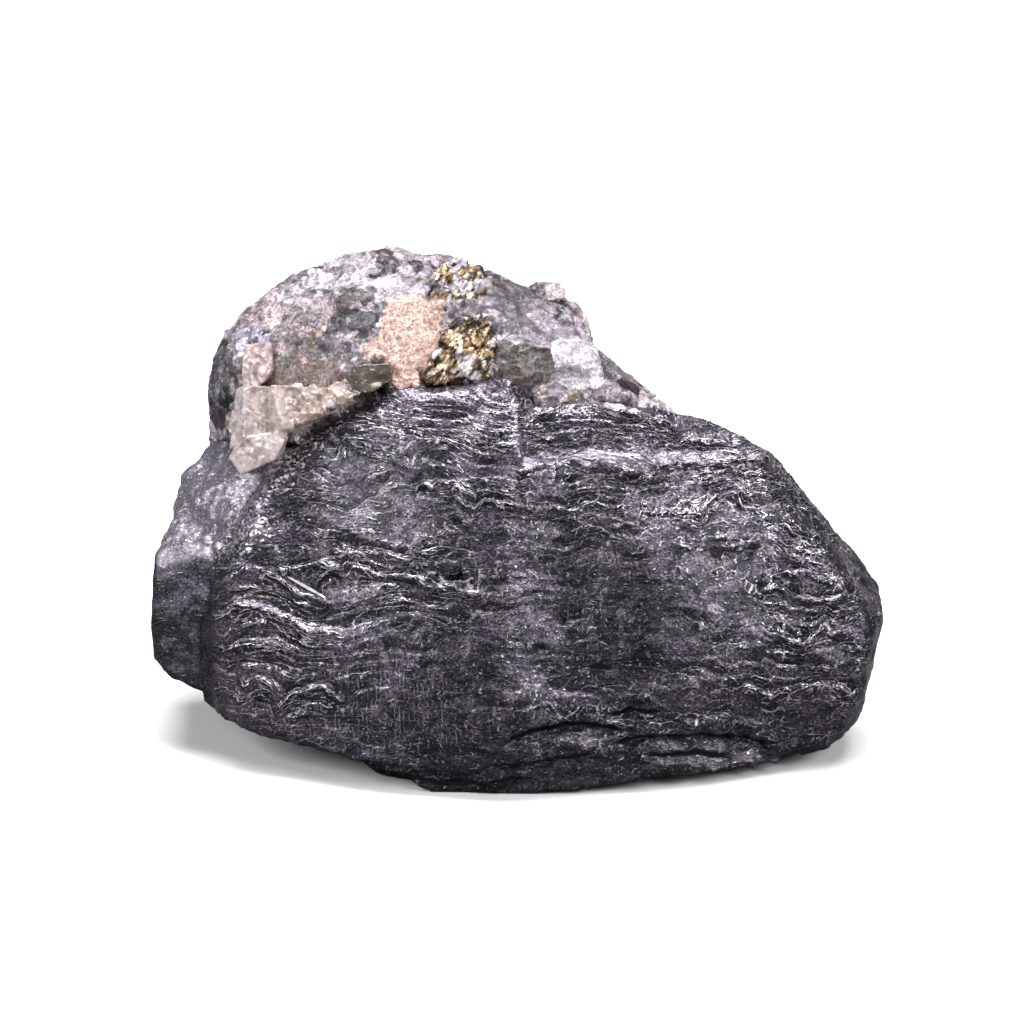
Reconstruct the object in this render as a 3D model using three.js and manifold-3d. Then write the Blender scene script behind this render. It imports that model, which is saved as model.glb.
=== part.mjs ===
// A galena specimen: a hand-sized lump of lead ore, standing on its broken underside.
//
// The lower front is a thick mass of grey galena that splits along its cleavage, so its broad face climbs
// in thin ledges and is undercut by a few loose laminae at the foot. A cleaved block stands at its left end.
// Behind and above it sits a granular matrix of quartz, calcite and sulphide grains, with a cluster of
// calcite rhombs at its left edge and two brassy patches of chalcopyrite grown into it.
//
// Lengths are millimetres. The lump is drawn in a frame that lies on the broad face, which leans back by
// LEAN: x runs across the face, y goes into the lump and z climbs the face. It is stood upright at the end.
import * as THREE from "three";
import { ConvexGeometry } from "three/addons/geometries/ConvexGeometry.js";
import { TessellateModifier } from "three/addons/modifiers/TessellateModifier.js";
import { ImprovedNoise } from "three/addons/math/ImprovedNoise.js";
import { mergeVertices } from "three/addons/utils/BufferGeometryUtils.js";
import Module from "manifold-3d";

const LEAN = THREE.MathUtils.degToRad(20); // the broad face from upright
const GROUND = -0.7; // height of the flat the lump rests on, below the lowest point of the broad face
const SEAT_GAP = 0.3; // between a mineral and the pocket it fills
const CONTACT_GAP = 0.4; // between the galena and the matrix that grew on it
const REACH = 200; // larger than the lump, for cutting tools
const MOST_SPLITS = 16; // rounds of halving a long facet edge
const SKEW = 0.25; // how far a cleavage piece's corners stray, of its size

const wasm = await Module();
wasm.setup();
const noise = new ImprovedNoise();

// ---------------------------------------------------------------- solids

function solidOf(geometry) {
  const bare = new THREE.BufferGeometry();
  bare.setAttribute("position", geometry.getAttribute("position").clone());
  if (geometry.index) bare.setIndex(geometry.index.clone());
  const merged = mergeVertices(bare, 1e-4);
  return new wasm.Manifold(
    new wasm.Mesh({
      numProp: 3,
      vertProperties: merged.getAttribute("position").array,
      triVerts: new Uint32Array(merged.index.array),
    }),
  );
}

function geometryOf(solid) {
  const mesh = solid.getMesh();
  const geometry = new THREE.BufferGeometry();
  geometry.setAttribute("position", new THREE.BufferAttribute(new Float32Array(mesh.vertProperties), 3));
  geometry.setIndex(new THREE.BufferAttribute(new Uint32Array(mesh.triVerts), 1));
  return geometry;
}

function join(solids) {
  return solids.reduce((whole, next) => whole.add(next));
}

// The biggest body of a solid that a cut has left in several pieces.
function largest(solid) {
  return solid.decompose().reduce((a, b) => (a.volume() > b.volume() ? a : b));
}

// Where the front of a solid is met at `x` across and `z` up, and the way its facet looks.
function frontOf(solid) {
  const shown = new THREE.Mesh(geometryOf(solid), new THREE.MeshBasicMaterial({ side: THREE.DoubleSide }));
  return (x, z) => {
    const sight = new THREE.Raycaster(new THREE.Vector3(x, -REACH, z), new THREE.Vector3(0, 1, 0));
    const hit = sight.intersectObject(shown)[0];
    return hit && { point: hit.point, out: hit.face.normal.clone() };
  };
}

// ---------------------------------------------------------------- broken rock surfaces

// Repeatable random numbers between 0 and 1.
function dice(seed) {
  let state = seed;
  return () => {
    state = (state * 16807) % 2147483647;
    return state / 2147483647;
  };
}

// A factor that strays from 1 by up to SKEW.
function astray(random) {
  return 1 + SKEW * (2 * random() - 1);
}

// Moves every vertex by up to about `depth`, following a lumpy pattern `size` across.
function roughen(geometry, depth, size) {
  const at = geometry.getAttribute("position");
  for (let i = 0; i < at.count; i++) {
    const [x, y, z] = [at.getX(i) / size, at.getY(i) / size, at.getZ(i) / size];
    at.setXYZ(
      i,
      at.getX(i) + depth * noise.noise(x + 7.3, y, z),
      at.getY(i) + depth * noise.noise(x, y + 3.9, z),
      at.getZ(i) + depth * noise.noise(x, y, z + 5.1),
    );
  }
  return geometry;
}

// The corners of a block, each made into a small cube's corners, so that their hull stands off it by `gap`.
function stoodOff(corners, gap) {
  if (!gap) return corners;
  const sides = [-gap, gap];
  const around = sides.flatMap((x) => sides.flatMap((y) => sides.map((z) => new THREE.Vector3(x, y, z))));
  return corners.flatMap((corner) => around.map((offset) => corner.clone().add(offset)));
}

// A broken block: the hull of its corners, with facets no longer than `facet` knocked about by `rough`.
function block({ corners, facet, rough, lump }, gap = 0) {
  const points = corners.map(([x, y, z]) => new THREE.Vector3(x, y, z));
  const hull = new ConvexGeometry(stoodOff(points, gap));
  const tiled = new TessellateModifier(facet, MOST_SPLITS).modify(hull);
  return solidOf(roughen(tiled, rough, lump));
}

// A crystal grain: a cleavage block with stray corners, `size` each way, turned so that its z is `out`.
function grain(centre, size, out, random, gap = 0) {
  const turn = new THREE.Quaternion()
    .setFromUnitVectors(new THREE.Vector3(0, 0, 1), out)
    .multiply(new THREE.Quaternion().setFromAxisAngle(new THREE.Vector3(0, 0, 1), random() * Math.PI));
  const points = [];
  for (const sx of [-0.5, 0.5])
    for (const sy of [-0.5, 0.5])
      for (const sz of [-0.5, 0.5]) {
        const corner = new THREE.Vector3(sx * astray(random), sy * astray(random), sz * astray(random));
        points.push(corner.multiply(size).applyQuaternion(turn).add(centre));
      }
  return solidOf(new ConvexGeometry(stoodOff(points, gap)));
}

// A smooth value between hand-set knots: [[x, value], ...].
function knots(table) {
  return (x) => {
    const last = table.length - 1;
    if (x <= table[0][0]) return table[0][1];
    if (x >= table[last][0]) return table[last][1];
    const i = table.findIndex(([at]) => at > x) - 1;
    const [[x0, a], [x1, b]] = [table[i], table[i + 1]];
    return a + ((b - a) * (x - x0)) / (x1 - x0);
  };
}

// ---------------------------------------------------------------- the galena mass

// Outline of the broad face, and how far back it stands at mid height, from its left end to its right.
const FOOT_LINE = knots([
  [-33.5, 10.4], [-31.2, 8.3], [-27.6, 6.5], [-22, 5.4], [-18, 4.2], [-12, 2], [-6, -0.1], [-1, -0.2],
  [3, 0.9], [12, 1.5], [15, 2.5], [17, 2.2], [21, 3], [26, 3.2], [30, 4.5], [33.6, 4.9], [36.8, 6.7],
  [38, 8.7], [39, 10.5], [39.6, 15], [40.2, 18],
]);
const CREST_LINE = knots([
  [-33.5, 27], [-31, 30.5], [-28, 34.6], [-23, 38.9], [-18.5, 42.4], [-12, 44.1], [-5.7, 44.9], [-1, 45.4],
  [5, 43.2], [14, 42.7], [20.7, 41.3], [24.2, 40.2], [27.5, 38.2], [29.5, 36.2], [33, 31.7], [36.5, 27.8],
  [39, 25], [40.2, 23],
]);
const FACE_DEPTH = knots([
  [-33.5, 11], [-30, 8], [-25, 4.8], [-19, 2.4], [-12, 1], [-2, 0.9], [6, 0.4], [13, 0.6], [20, 1.8],
  [28, 4.4], [34, 8], [38, 11.5], [40.2, 15],
]);
const BACK_DEPTH = knots([[-33.5, 22], [-26, 27], [28, 27], [36, 24.5], [40.2, 21]]);
const BACK_KNEES = [[0, 0.88], [0, 0.5], [1, 0.2]]; // down the back: how far in, and the part of the height
const LEAST_THICK = 1.5; // of the slab that carries the ledges
const FACE_ENDS = [-33.5, 40.2];

// How the face leans away from its foot (0) to its crest (1): undercut, upright, then laid back.
const LEAN_BACK = knots([
  [0, 3.2], [0.08, 2.3], [0.13, 0.6], [0.2, 0], [0.5, 1], [0.74, 2.6], [0.88, 4.8], [1, 8.6],
]);
// The shoulder at the right falls away further.
const SHOULDER = knots([[0.45, 0], [0.75, 2], [1, 7]]);
const SHOULDER_FROM = knots([[14, 0], [26, 1]]);

// Heights of the ledges on the face, from its foot (0) to its crest (1).
const LEDGES = [
  0.035, 0.075, 0.12, 0.17, 0.235, 0.285, 0.365, 0.415, 0.475, 0.555, 0.6, 0.655, 0.73, 0.775, 0.83, 0.87,
  0.91, 0.955,
];
const UNDERCUT_LEDGES = 4; // the lowest ones, which step out going up
const LEDGE_SWAY = 0.07; // of the face's height, all ledges together
const LEDGE_WANDER = 0.4; // of the room between two ledges, each on its own
const LEDGE_BREAK = 3.2; // how far a ledge steps where it is strongest; elsewhere it fades out
const LEDGE_LIP = { least: 0.16, slope: 0.45, most: 0.25 }; // rise of a ledge's top, and the most of the room
const LEDGE_SUM = knots([[0, 0], [0.17, -1.6], [1, 5]]); // what the ledges add up to on average
const SWELL = 0.9; // the slow rise and fall of the whole face
const STATION = 2.2; // between sections along the lump
// The stretch where the face is cleaved away above one long ledge.
const CLEAVED = { from: 0.5, to: 27, over: 14, depth: 1.8 };

// How far the face steps back over ledge `k`, at `x` along it.
function ledgeStep(x, k) {
  const step = LEDGE_BREAK * Math.max(0, noise.noise(x / 9 + 11.37 * k, 2.7 * k, 0.5) + 0.08);
  const cleaved = k === CLEAVED.over && x > CLEAVED.from && x < CLEAVED.to ? CLEAVED.depth : 0;
  return cleaved + (k < UNDERCUT_LEDGES ? -step : step);
}

// Depth of the face at `x` along it and `part` of its height up, over the lowest `ledges` of its ledges.
function faceDepth(x, part, ledges) {
  const swell = SWELL * noise.noise(x / 17 + 3.1, part * 2.3, 4.4);
  let depth = FACE_DEPTH(x) + LEAN_BACK(part) + SHOULDER(part) * SHOULDER_FROM(x);
  for (let k = 0; k < ledges; k++) depth += ledgeStep(x, k);
  return depth + swell - LEDGE_SUM(part);
}

// One section across the lump at `x`: up the ledges of the face, over the crest and down the hidden back.
function section(x, gap) {
  const [foot, crest, back] = [FOOT_LINE(x), CREST_LINE(x) + gap, BACK_DEPTH(x)];
  const height = crest - foot;
  const face = [[faceDepth(x, 0, 0), foot]];
  LEDGES.forEach((ledge, k) => {
    const room = Math.min((LEDGES[k + 1] ?? 1) - ledge, ledge - (LEDGES[k - 1] ?? 0));
    const sway = LEDGE_SWAY * Math.sin(Math.PI * ledge) * noise.noise(x / 12, 1.5 * ledge, 8.2);
    const part = ledge + sway + LEDGE_WANDER * room * noise.noise(x / 6 + 5.3 * k, 9.1, k * 1.3);
    const slope = LEDGE_LIP.least + LEDGE_LIP.slope * Math.abs(ledgeStep(x, k));
    const lip = Math.min(slope, LEDGE_LIP.most * room * height) / 2;
    const up = foot + height * part;
    face.push([faceDepth(x, part, k), up - lip], [faceDepth(x, part, k + 1), up + lip]);
  });
  face.push([faceDepth(x, 1, LEDGES.length), crest]);
  return [
    ...face.map(([y, z]) => new THREE.Vector3(x, Math.min(y, back - LEAST_THICK) - gap, z)),
    ...BACK_KNEES.map(([inward, part]) => new THREE.Vector3(x, back - inward + gap, foot + part * height)),
  ];
}

// A closed solid through the sections, with its two end sections filled in.
function loft(rings) {
  const [count, size] = [rings.length, rings[0].length];
  const points = rings.flat();
  const faces = [];
  for (let i = 0; i < count - 1; i++)
    for (let j = 0; j < size; j++) {
      const next = (j + 1) % size;
      const [a, b, c, d] = [i * size + j, i * size + next, (i + 1) * size + next, (i + 1) * size + j];
      faces.push(a, d, b, b, d, c);
    }
  for (const [ring, turned] of [[0, false], [count - 1, true]]) {
    const middle = points.length;
    const centre = rings[ring].reduce((sum, p) => sum.add(p), new THREE.Vector3()).divideScalar(size);
    points.push(centre);
    for (let j = 0; j < size; j++) {
      const [a, b] = [ring * size + j, ring * size + ((j + 1) % size)];
      faces.push(middle, ...(turned ? [b, a] : [a, b]));
    }
  }
  return solidOf(new THREE.BufferGeometry().setFromPoints(points).setIndex(faces));
}

function broadFace(gap = 0) {
  const [from, to] = FACE_ENDS;
  const steps = Math.round((to - from) / STATION);
  return loft(Array.from({ length: steps + 1 }, (_, i) => section(from + ((to - from) * i) / steps, gap)));
}

// The cleaved cube at the left end, seen square on and chipped along its foot.
const LEFT_BLOCK = {
  facet: 6, rough: 0.5, lump: 4,
  corners: [
    [-39, 15, 14.9], [-39.3, 14.6, 22], [-38.8, 15.2, 26.8], [-36.4, 16.4, 29.6], [-30, 12, 28.6],
    [-29.5, 10.6, 12], [-33.2, 12, 11.3], [-37.4, 13.8, 12.9], [-38.4, 29, 17.5], [-38.6, 28, 25],
    [-35.8, 28.6, 29.6], [-26, 30, 28.5], [-26, 30, 15], [-34, 30, 14.6],
  ],
};
// The granular slope between that block and the matrix.
const LEFT_SHOULDER = {
  facet: 4.5, rough: 1, lump: 3.2,
  corners: [
    [-38.3, 17, 27.6], [-37.3, 18, 31.4], [-36.2, 19.4, 35], [-34.6, 20.5, 37], [-32.6, 21, 39.2],
    [-27, 14.5, 38.4], [-24, 11, 37.6], [-28, 10, 28.5], [-33, 13, 27], [-36.5, 30, 30], [-33, 30, 35],
    [-22, 30, 37], [-22, 28, 26],
  ],
};
// The broken body behind the broad face, which the lump rests on.
const BODY = {
  facet: 7.5, rough: 1.2, lump: 7,
  corners: [
    [-31, 14, 12], [-27, 24, 7.2], [-18.5, 16.5, 4.4], [-12, 10.2, 1.9], [-5, 4, -0.8], [9, 5.6, -0.2],
    [20, 12, 2.6], [28, 17, 4.6], [34, 21, 6.8], [-24, 37, 9], [-6, 40, 9.5], [15, 39.5, 9.5], [29, 33, 8.5],
    [33, 22, 5.5], [-33, 31, 22], [-30, 35.5, 26], [-8, 36.5, 27], [14, 36, 26], [29, 31, 23], [35, 25, 21],
    [36, 20, 26], [-34, 22, 29], [27, 20, 36], [-24, 22, 34],
  ],
};

function galenaMass(gap = 0) {
  return join([broadFace(gap), block(BODY, gap), block(LEFT_BLOCK, gap), block(LEFT_SHOULDER, gap)]);
}

// Where cleavage pieces have dropped out of the broad face: square pits, then thin slots between the laminae.
const MISSING_TAPER = 0.7; // of its mouth's width, at its end
const MISSING_PIECES = [
  { across: -6.3, up: 24, size: [2.4, 1.6], deep: 1.1 },
  { across: 5.8, up: 34.4, size: [2.2, 1.4], deep: 0.9 },
  { across: -19.2, up: 24.8, size: [1.8, 1.3], deep: 0.8 },
  { across: -3.4, up: 20.6, size: [1.4, 2], deep: 0.8 },
  { across: 11.5, up: 26.6, size: [1.6, 1.3], deep: 0.7 },
  { across: 22.6, up: 18.4, size: [1.7, 1.2], deep: 0.7 },
  { across: 8, up: 9, size: [6.4, 0.6], deep: 1.8 },
  { across: 16.4, up: 7.2, size: [8.6, 0.7], deep: 1.8 },
  { across: 2.4, up: 5, size: [11, 0.5], deep: 1.6 },
  { across: -13.5, up: 6.3, size: [7, 0.5], deep: 1.3 },
];

// The pieces to take out of the galena, each a slightly skewed wedge driven in from the front.
function missingPieces(solid) {
  const front = frontOf(solid);
  const random = dice(203);
  return MISSING_PIECES.map(({ across, up, size: [wide, high], deep }) => {
    const { point } = front(across, up);
    const corners = [];
    for (const sx of [-0.5, 0.5])
      for (const sz of [-0.5, 0.5])
        for (const [y, taper] of [[-deep, 1], [deep, MISSING_TAPER]]) {
          const [x, z] = [sx * wide * taper * astray(random), sz * high * taper * astray(random)];
          corners.push(new THREE.Vector3(point.x + x, point.y + y, point.z + z));
        }
    return solidOf(new ConvexGeometry(corners));
  });
}

// ---------------------------------------------------------------- the matrix

const MATRIX_DOME = {
  facet: 5.8, rough: 1, lump: 4.5,
  corners: [
    [-33, 19, 40], [-33.3, 19, 43.6], [-32.8, 18.5, 47.6], [-31.6, 18.5, 50.4], [-29.4, 18.6, 53.2],
    [-24.3, 19, 57], [-21, 19.5, 58.4], [-18, 20, 59.5], [-12, 20.5, 59.8], [-7.4, 21, 59.7],
    [-2, 21.4, 57.8], [2, 21.5, 55.4], [9, 22, 48.8], [15, 21, 43.2], [20, 20, 40.2], [-29, 12.6, 38.5],
    [-20, 10.5, 41], [-10, 9.6, 43.8], [4, 11, 42.6], [16, 13, 41.4], [-26, 12.4, 50], [-12, 12.8, 54],
    [0, 13.8, 51.5], [-31, 31, 43], [-24, 29, 50.5], [-10, 28.5, 54.6], [2, 29, 50.5], [13, 29.5, 43],
    [22, 29, 34], [-32, 34, 30], [-12, 38, 32], [10, 37, 31], [24, 31, 27], [-20, 20, 30], [20, 20, 30],
  ],
};
// The rounded lump that stands up behind the right end of the dome.
const MATRIX_LUMP = {
  facet: 4, rough: 0.8, lump: 3,
  corners: [
    [0, 24, 55.2], [5, 24, 55], [7.6, 24, 53.8], [8.6, 23.5, 50.6], [9, 23, 47.5], [-1, 20, 50],
    [0, 30, 52.5], [6, 31, 51.5], [9, 30, 47], [0, 31, 44], [8, 31, 42],
  ],
};

// The grains whose cleavage faces stand well out of the dome.
const BIG_SUNK = 0.28; // how deep a big grain's middle lies, of its thickness
const BIG_GRAINS = [
  { across: 1.4, up: 47.6, size: [6, 4.4, 3] },
  { across: 7, up: 47.4, size: [5.6, 5, 3] },
  { across: -3.4, up: 46, size: [3, 3.4, 2.4] },
  { across: 4.2, up: 52.6, size: [5, 3.4, 2.6] },
  { across: -16.8, up: 54.4, size: [4.6, 3.2, 2.4] },
  { across: -13, up: 58.2, size: [3.6, 2.6, 2.4] },
  { across: -22, up: 50.6, size: [4.4, 3.4, 2.2] },
  { across: -30.4, up: 47.6, size: [3.8, 4.6, 2.6] },
  { across: -9, up: 54.6, size: [3, 2.4, 2.2] },
  { across: 12, up: 44.4, size: [4, 3, 2.2] },
];
const SMALL_GRAIN = { from: 2.2, to: 4.2, shape: [1.2, 1, 0.8], sunk: 0.32 };
// Which facets of the dome carry one: every few, as far back as this, and not turned further to the back.
const GRAINY = { every: 15, backmost: 24, facing: 0.3 };

// A grain on every few facets of the dome's front and top, each standing a little out of it.
function smallGrains(dome) {
  const random = dice(411);
  const faces = geometryOf(dome).toNonIndexed().getAttribute("position");
  const grains = [];
  const [a, b, c] = [new THREE.Vector3(), new THREE.Vector3(), new THREE.Vector3()];
  for (let i = 0; i + 2 < faces.count; i += 3 * GRAINY.every) {
    [a, b, c].forEach((corner, k) => corner.fromBufferAttribute(faces, i + k));
    const facet = new THREE.Triangle(a, b, c);
    const out = facet.getNormal(new THREE.Vector3());
    if (a.y > GRAINY.backmost || out.y > GRAINY.facing) continue;
    const across = THREE.MathUtils.lerp(SMALL_GRAIN.from, SMALL_GRAIN.to, random());
    const centre = facet.getMidpoint(new THREE.Vector3()).addScaledVector(out, -across * SMALL_GRAIN.sunk);
    grains.push(grain(centre, new THREE.Vector3(...SMALL_GRAIN.shape).multiplyScalar(across), out, random));
  }
  return grains;
}

function matrixRock() {
  const dome = block(MATRIX_DOME).add(block(MATRIX_LUMP));
  const front = frontOf(dome);
  const random = dice(97);
  const big = BIG_GRAINS.map(({ across, up, size }) => {
    const { point, out } = front(across, up);
    return grain(point.addScaledVector(out, -size[2] * BIG_SUNK), new THREE.Vector3(...size), out, random);
  });
  return join([dome, ...big, ...smallGrains(dome)]);
}

// ---------------------------------------------------------------- the calcite

// Cleavage rhombs grown through one another, each the hull of its corners.
const CALCITE_RHOMBS = [
  // the square-ended blade at the top
  [
    [-29.1, 12.2, 49.1], [-26.1, 11.6, 49.3], [-25.9, 11, 46.2], [-26.9, 10.8, 44.8], [-29.3, 11.8, 44.2],
    [-28, 17, 48.6], [-25, 16, 46.5], [-28.5, 17, 44],
  ],
  // the tall prism below it
  [
    [-29.8, 11, 44.3], [-28.9, 9.8, 44.6], [-25.4, 10.4, 44.4], [-24, 10.8, 42.6], [-24.9, 9.4, 39.2],
    [-28.8, 8.6, 38.6], [-30.5, 10.2, 37.7], [-29, 15, 44], [-25, 15, 43.6], [-25, 14.6, 38],
    [-29.6, 14.8, 38],
  ],
  // the foot rhomb, which overhangs the granular slope
  [
    [-30.5, 9.4, 36.8], [-29.2, 8.6, 34.9], [-25.6, 7.4, 36.4], [-24.6, 7.3, 38], [-24.1, 7.8, 39.7],
    [-28.8, 8.1, 38.9], [-30.1, 9, 37.5], [-29.6, 14, 38], [-29, 14, 36], [-24.6, 13.5, 37],
    [-24.6, 13.4, 39.6],
  ],
  // the low mass along the contact with the galena
  [
    [-26, 9.2, 44.6], [-20, 8, 44.4], [-16, 7.6, 43.6], [-18.4, 6.9, 42.6], [-24.6, 7.4, 39.6],
    [-26, 8.6, 39.8], [-26, 14, 44], [-17, 13, 44], [-24, 14, 39],
  ],
  // the thin clear plate that reaches to the right, rooted in the low mass
  [
    [-20.6, 9.4, 43.5], [-18.8, 9.2, 44.2], [-16.4, 9.9, 46.8], [-13, 9.3, 47], [-12.8, 8.9, 45.2],
    [-15, 8.4, 43.8], [-20.2, 12.6, 43.4], [-18, 13, 44.6], [-13.4, 12.6, 46.2], [-14, 12, 44.4],
  ],
];

function calciteCluster(gap = 0) {
  return join(
    CALCITE_RHOMBS.map((corners) => {
      const points = corners.map(([x, y, z]) => new THREE.Vector3(x, y, z));
      return solidOf(new ConvexGeometry(stoodOff(points, gap)));
    }),
  );
}

// ---------------------------------------------------------------- the chalcopyrite

// Each patch: its outline on the dome, and how many brassy crystals crowd on it.
const CHALCOPYRITE_LOWER = {
  seed: 31, crystals: 16, size: [1, 2.2],
  outline: [
    [-9, 45.4], [-8.6, 47], [-6.6, 49.6], [-5.4, 51.6], [-3.2, 52], [-2.2, 50.2], [-2.2, 47.4], [-3.4, 45],
    [-6, 44.9],
  ],
};
const CHALCOPYRITE_UPPER = {
  seed: 57, crystals: 9, size: [0.9, 1.7],
  outline: [[-8.8, 56.6], [-7, 57.8], [-3.6, 57.6], [-3.2, 56], [-4.4, 54.2], [-7.2, 53.8], [-8.6, 54.8]],
};
const CRYSTAL_SHAPE = [1, 0.8, 1];
const CRYSTAL_TILT = 0.5; // how far a crystal leans off the surface
const PATCH_DEPTH = 2.4; // how far a patch is rooted in the matrix
const PATCH_STANDS = 0.25; // how far its bed stands out

function inOutline(outline, x, z) {
  return outline.reduce((inside, [x1, z1], i) => {
    const [x2, z2] = outline[(i + 1) % outline.length];
    return z1 > z !== z2 > z && x < ((x2 - x1) * (z - z1)) / (z2 - z1) + x1 ? !inside : inside;
  }, false);
}

function chalcopyrite({ seed, crystals, size, outline }, front, gap = 0) {
  const random = dice(seed);
  const [xs, zs] = [outline.map(([x]) => x), outline.map(([, z]) => z)];
  const bed = outline.flatMap(([x, z]) => {
    const { point } = front(x, z);
    return [point.clone().setY(point.y - PATCH_STANDS), point.clone().setY(point.y + PATCH_DEPTH)];
  });
  const parts = [solidOf(new ConvexGeometry(stoodOff(bed, gap)))];
  while (parts.length <= crystals) {
    const x = THREE.MathUtils.lerp(Math.min(...xs), Math.max(...xs), random());
    const z = THREE.MathUtils.lerp(Math.min(...zs), Math.max(...zs), random());
    if (!inOutline(outline, x, z)) continue;
    const { point, out } = front(x, z);
    const across = THREE.MathUtils.lerp(size[0], size[1], random());
    const lean = new THREE.Vector3(random(), random(), random());
    lean.subScalar(0.5).multiplyScalar(2 * CRYSTAL_TILT);
    const root = point.setY(point.y - PATCH_STANDS);
    const shape = new THREE.Vector3(...CRYSTAL_SHAPE).multiplyScalar(across);
    parts.push(grain(root, shape, out.add(lean).normalize(), random, gap));
  }
  return join(parts);
}

// ---------------------------------------------------------------- the specimen

// Everything below the flat that the lump rests on.
function underground() {
  const box = new THREE.BoxGeometry(REACH, REACH, REACH).translate(0, 0, GROUND - REACH / 2).rotateX(LEAN);
  return solidOf(box);
}

const soundGalena = galenaMass().subtract(underground());
const galena = largest(soundGalena.subtract(join(missingPieces(soundGalena))));
const calcite = calciteCluster().subtract(galenaMass(CONTACT_GAP));
const grownOn = galenaMass(CONTACT_GAP).add(calciteCluster(SEAT_GAP));
const dome = largest(matrixRock().subtract(grownOn));
const front = frontOf(dome);
const lowerPatch = chalcopyrite(CHALCOPYRITE_LOWER, front);
const upperPatch = chalcopyrite(CHALCOPYRITE_UPPER, front);
const patches = [CHALCOPYRITE_LOWER, CHALCOPYRITE_UPPER];
const pockets = patches.map((patch) => chalcopyrite(patch, front, SEAT_GAP));
const matrix = largest(dome.subtract(join(pockets)));
const clearOfGalena = (patch) => largest(patch.subtract(galenaMass(SEAT_GAP)));

const FINISHES = {
  galena_mass: { color: 0x46434a, metalness: 0.75, roughness: 0.45 },
  matrix: { color: 0xb5aab2, metalness: 0.15, roughness: 0.55 },
  calcite_crystals: { color: 0xcfc1bc, metalness: 0, roughness: 0.3 },
  chalcopyrite_lower: { color: 0xa07a3c, metalness: 0.9, roughness: 0.35 },
  chalcopyrite_upper: { color: 0x8d6c36, metalness: 0.9, roughness: 0.35 },
};
const PIECES = {
  galena_mass: galena,
  matrix,
  calcite_crystals: largest(calcite),
  chalcopyrite_lower: clearOfGalena(lowerPatch),
  chalcopyrite_upper: clearOfGalena(upperPatch),
};

const specimen = new THREE.Group();
for (const [name, solid] of Object.entries(PIECES)) {
  const geometry = geometryOf(solid).rotateX(-LEAN);
  const finish = new THREE.MeshStandardMaterial({ ...FINISHES[name], flatShading: true });
  const mesh = new THREE.Mesh(geometry, finish);
  mesh.name = name;
  specimen.add(mesh);
}

// The origin is under the middle of the lump, on the flat it rests on.
const extent = new THREE.Box3().setFromObject(specimen);
const middle = extent.getCenter(new THREE.Vector3());
specimen.position.set(-middle.x, -middle.y, -extent.min.z);

export default specimen;
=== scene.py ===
"""A galena specimen: a hand-sized lump of lead ore with quartz, calcite and chalcopyrite grown behind it.

Each section but the last dresses one mineral of the lump over its own CAD node. Lengths there are millimetres
until they end up in a mesh, which is in metres. The last section is the studio, and all of it is in metres.
"""

import math

import bmesh
import bpy
import numpy as np
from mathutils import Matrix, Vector
from mathutils.bvhtree import BVHTree
from mathutils.kdtree import KDTree


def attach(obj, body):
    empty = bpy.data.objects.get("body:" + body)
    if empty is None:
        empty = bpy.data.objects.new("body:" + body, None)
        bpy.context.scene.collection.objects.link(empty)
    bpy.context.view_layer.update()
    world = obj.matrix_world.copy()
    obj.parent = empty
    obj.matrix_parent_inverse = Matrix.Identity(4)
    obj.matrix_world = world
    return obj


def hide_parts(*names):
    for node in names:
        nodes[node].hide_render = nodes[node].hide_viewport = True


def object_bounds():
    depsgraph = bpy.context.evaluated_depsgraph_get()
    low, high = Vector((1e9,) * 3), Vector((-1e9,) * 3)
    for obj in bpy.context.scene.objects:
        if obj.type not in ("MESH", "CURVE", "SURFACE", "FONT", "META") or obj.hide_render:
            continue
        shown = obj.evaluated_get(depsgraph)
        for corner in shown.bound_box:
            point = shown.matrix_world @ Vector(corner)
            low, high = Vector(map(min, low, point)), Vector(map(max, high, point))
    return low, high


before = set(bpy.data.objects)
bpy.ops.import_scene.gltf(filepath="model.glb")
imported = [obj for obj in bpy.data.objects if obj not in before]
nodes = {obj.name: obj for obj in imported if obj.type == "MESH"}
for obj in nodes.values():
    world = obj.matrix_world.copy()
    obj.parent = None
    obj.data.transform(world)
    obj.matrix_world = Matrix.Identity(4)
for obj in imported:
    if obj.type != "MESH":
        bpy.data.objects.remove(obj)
cad_low, cad_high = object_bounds()


# ------------------------------------------------------------------------------------------ the galena mass
# The lead ore that makes up the front and foot of the lump. Galena splits along three flat cleavages, so its
# broad face is a stack of broken plates: dark where a plate faces out, bright along every lip that faces up.
# That brightness is a painted highlight on the lips and treads, with a painted shadow under them.
# At the foot a few plates have come loose over an undercut. A cleaved block stands at the left end.

LEAN = math.radians(20)  # the broad face from upright
FACE_ORIGIN = np.array([-0.45, -23.72, 0.70])  # where the face's own measures start
MM = 0.001
MEET = 1e-6  # loose corners nearer than this are one
GALENA_CELL = 0.57  # of the skin at the back; the front has half of it
FACES_OUT = 0.12  # how squarely a skin cell looks forward or up to be halved
FORWARD = 0.8  # how much looking forward counts for that
OCTAVES = 3  # layers of rough drift
FINER, WEAKER = 2.03, 1.9  # what each of them is to the one before it


def across_face(points):
    """Rows of (along the lump, into it, up its leaning face) in millimetres, from places in metres."""
    return turned_to_face(points / MM - FACE_ORIGIN)


def turned_to_face(rows):
    x, y, z = rows.T
    return np.stack([x, y * math.cos(LEAN) - z * math.sin(LEAN), y * math.sin(LEAN) + z * math.cos(LEAN)], 1)


def drift(points, seed):
    """Smooth wandering numbers from -1 to 1, one to a row of points, that change over about one unit."""
    cell = np.floor(points).astype(np.int64)
    part = points - cell
    part = part * part * (3 - 2 * part)
    total = np.zeros(len(points))
    for corner in np.ndindex(2, 2, 2):
        total += chance(cell + corner, seed) * np.prod(np.where(corner, part, 1 - part), axis=1)
    return total


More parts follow.
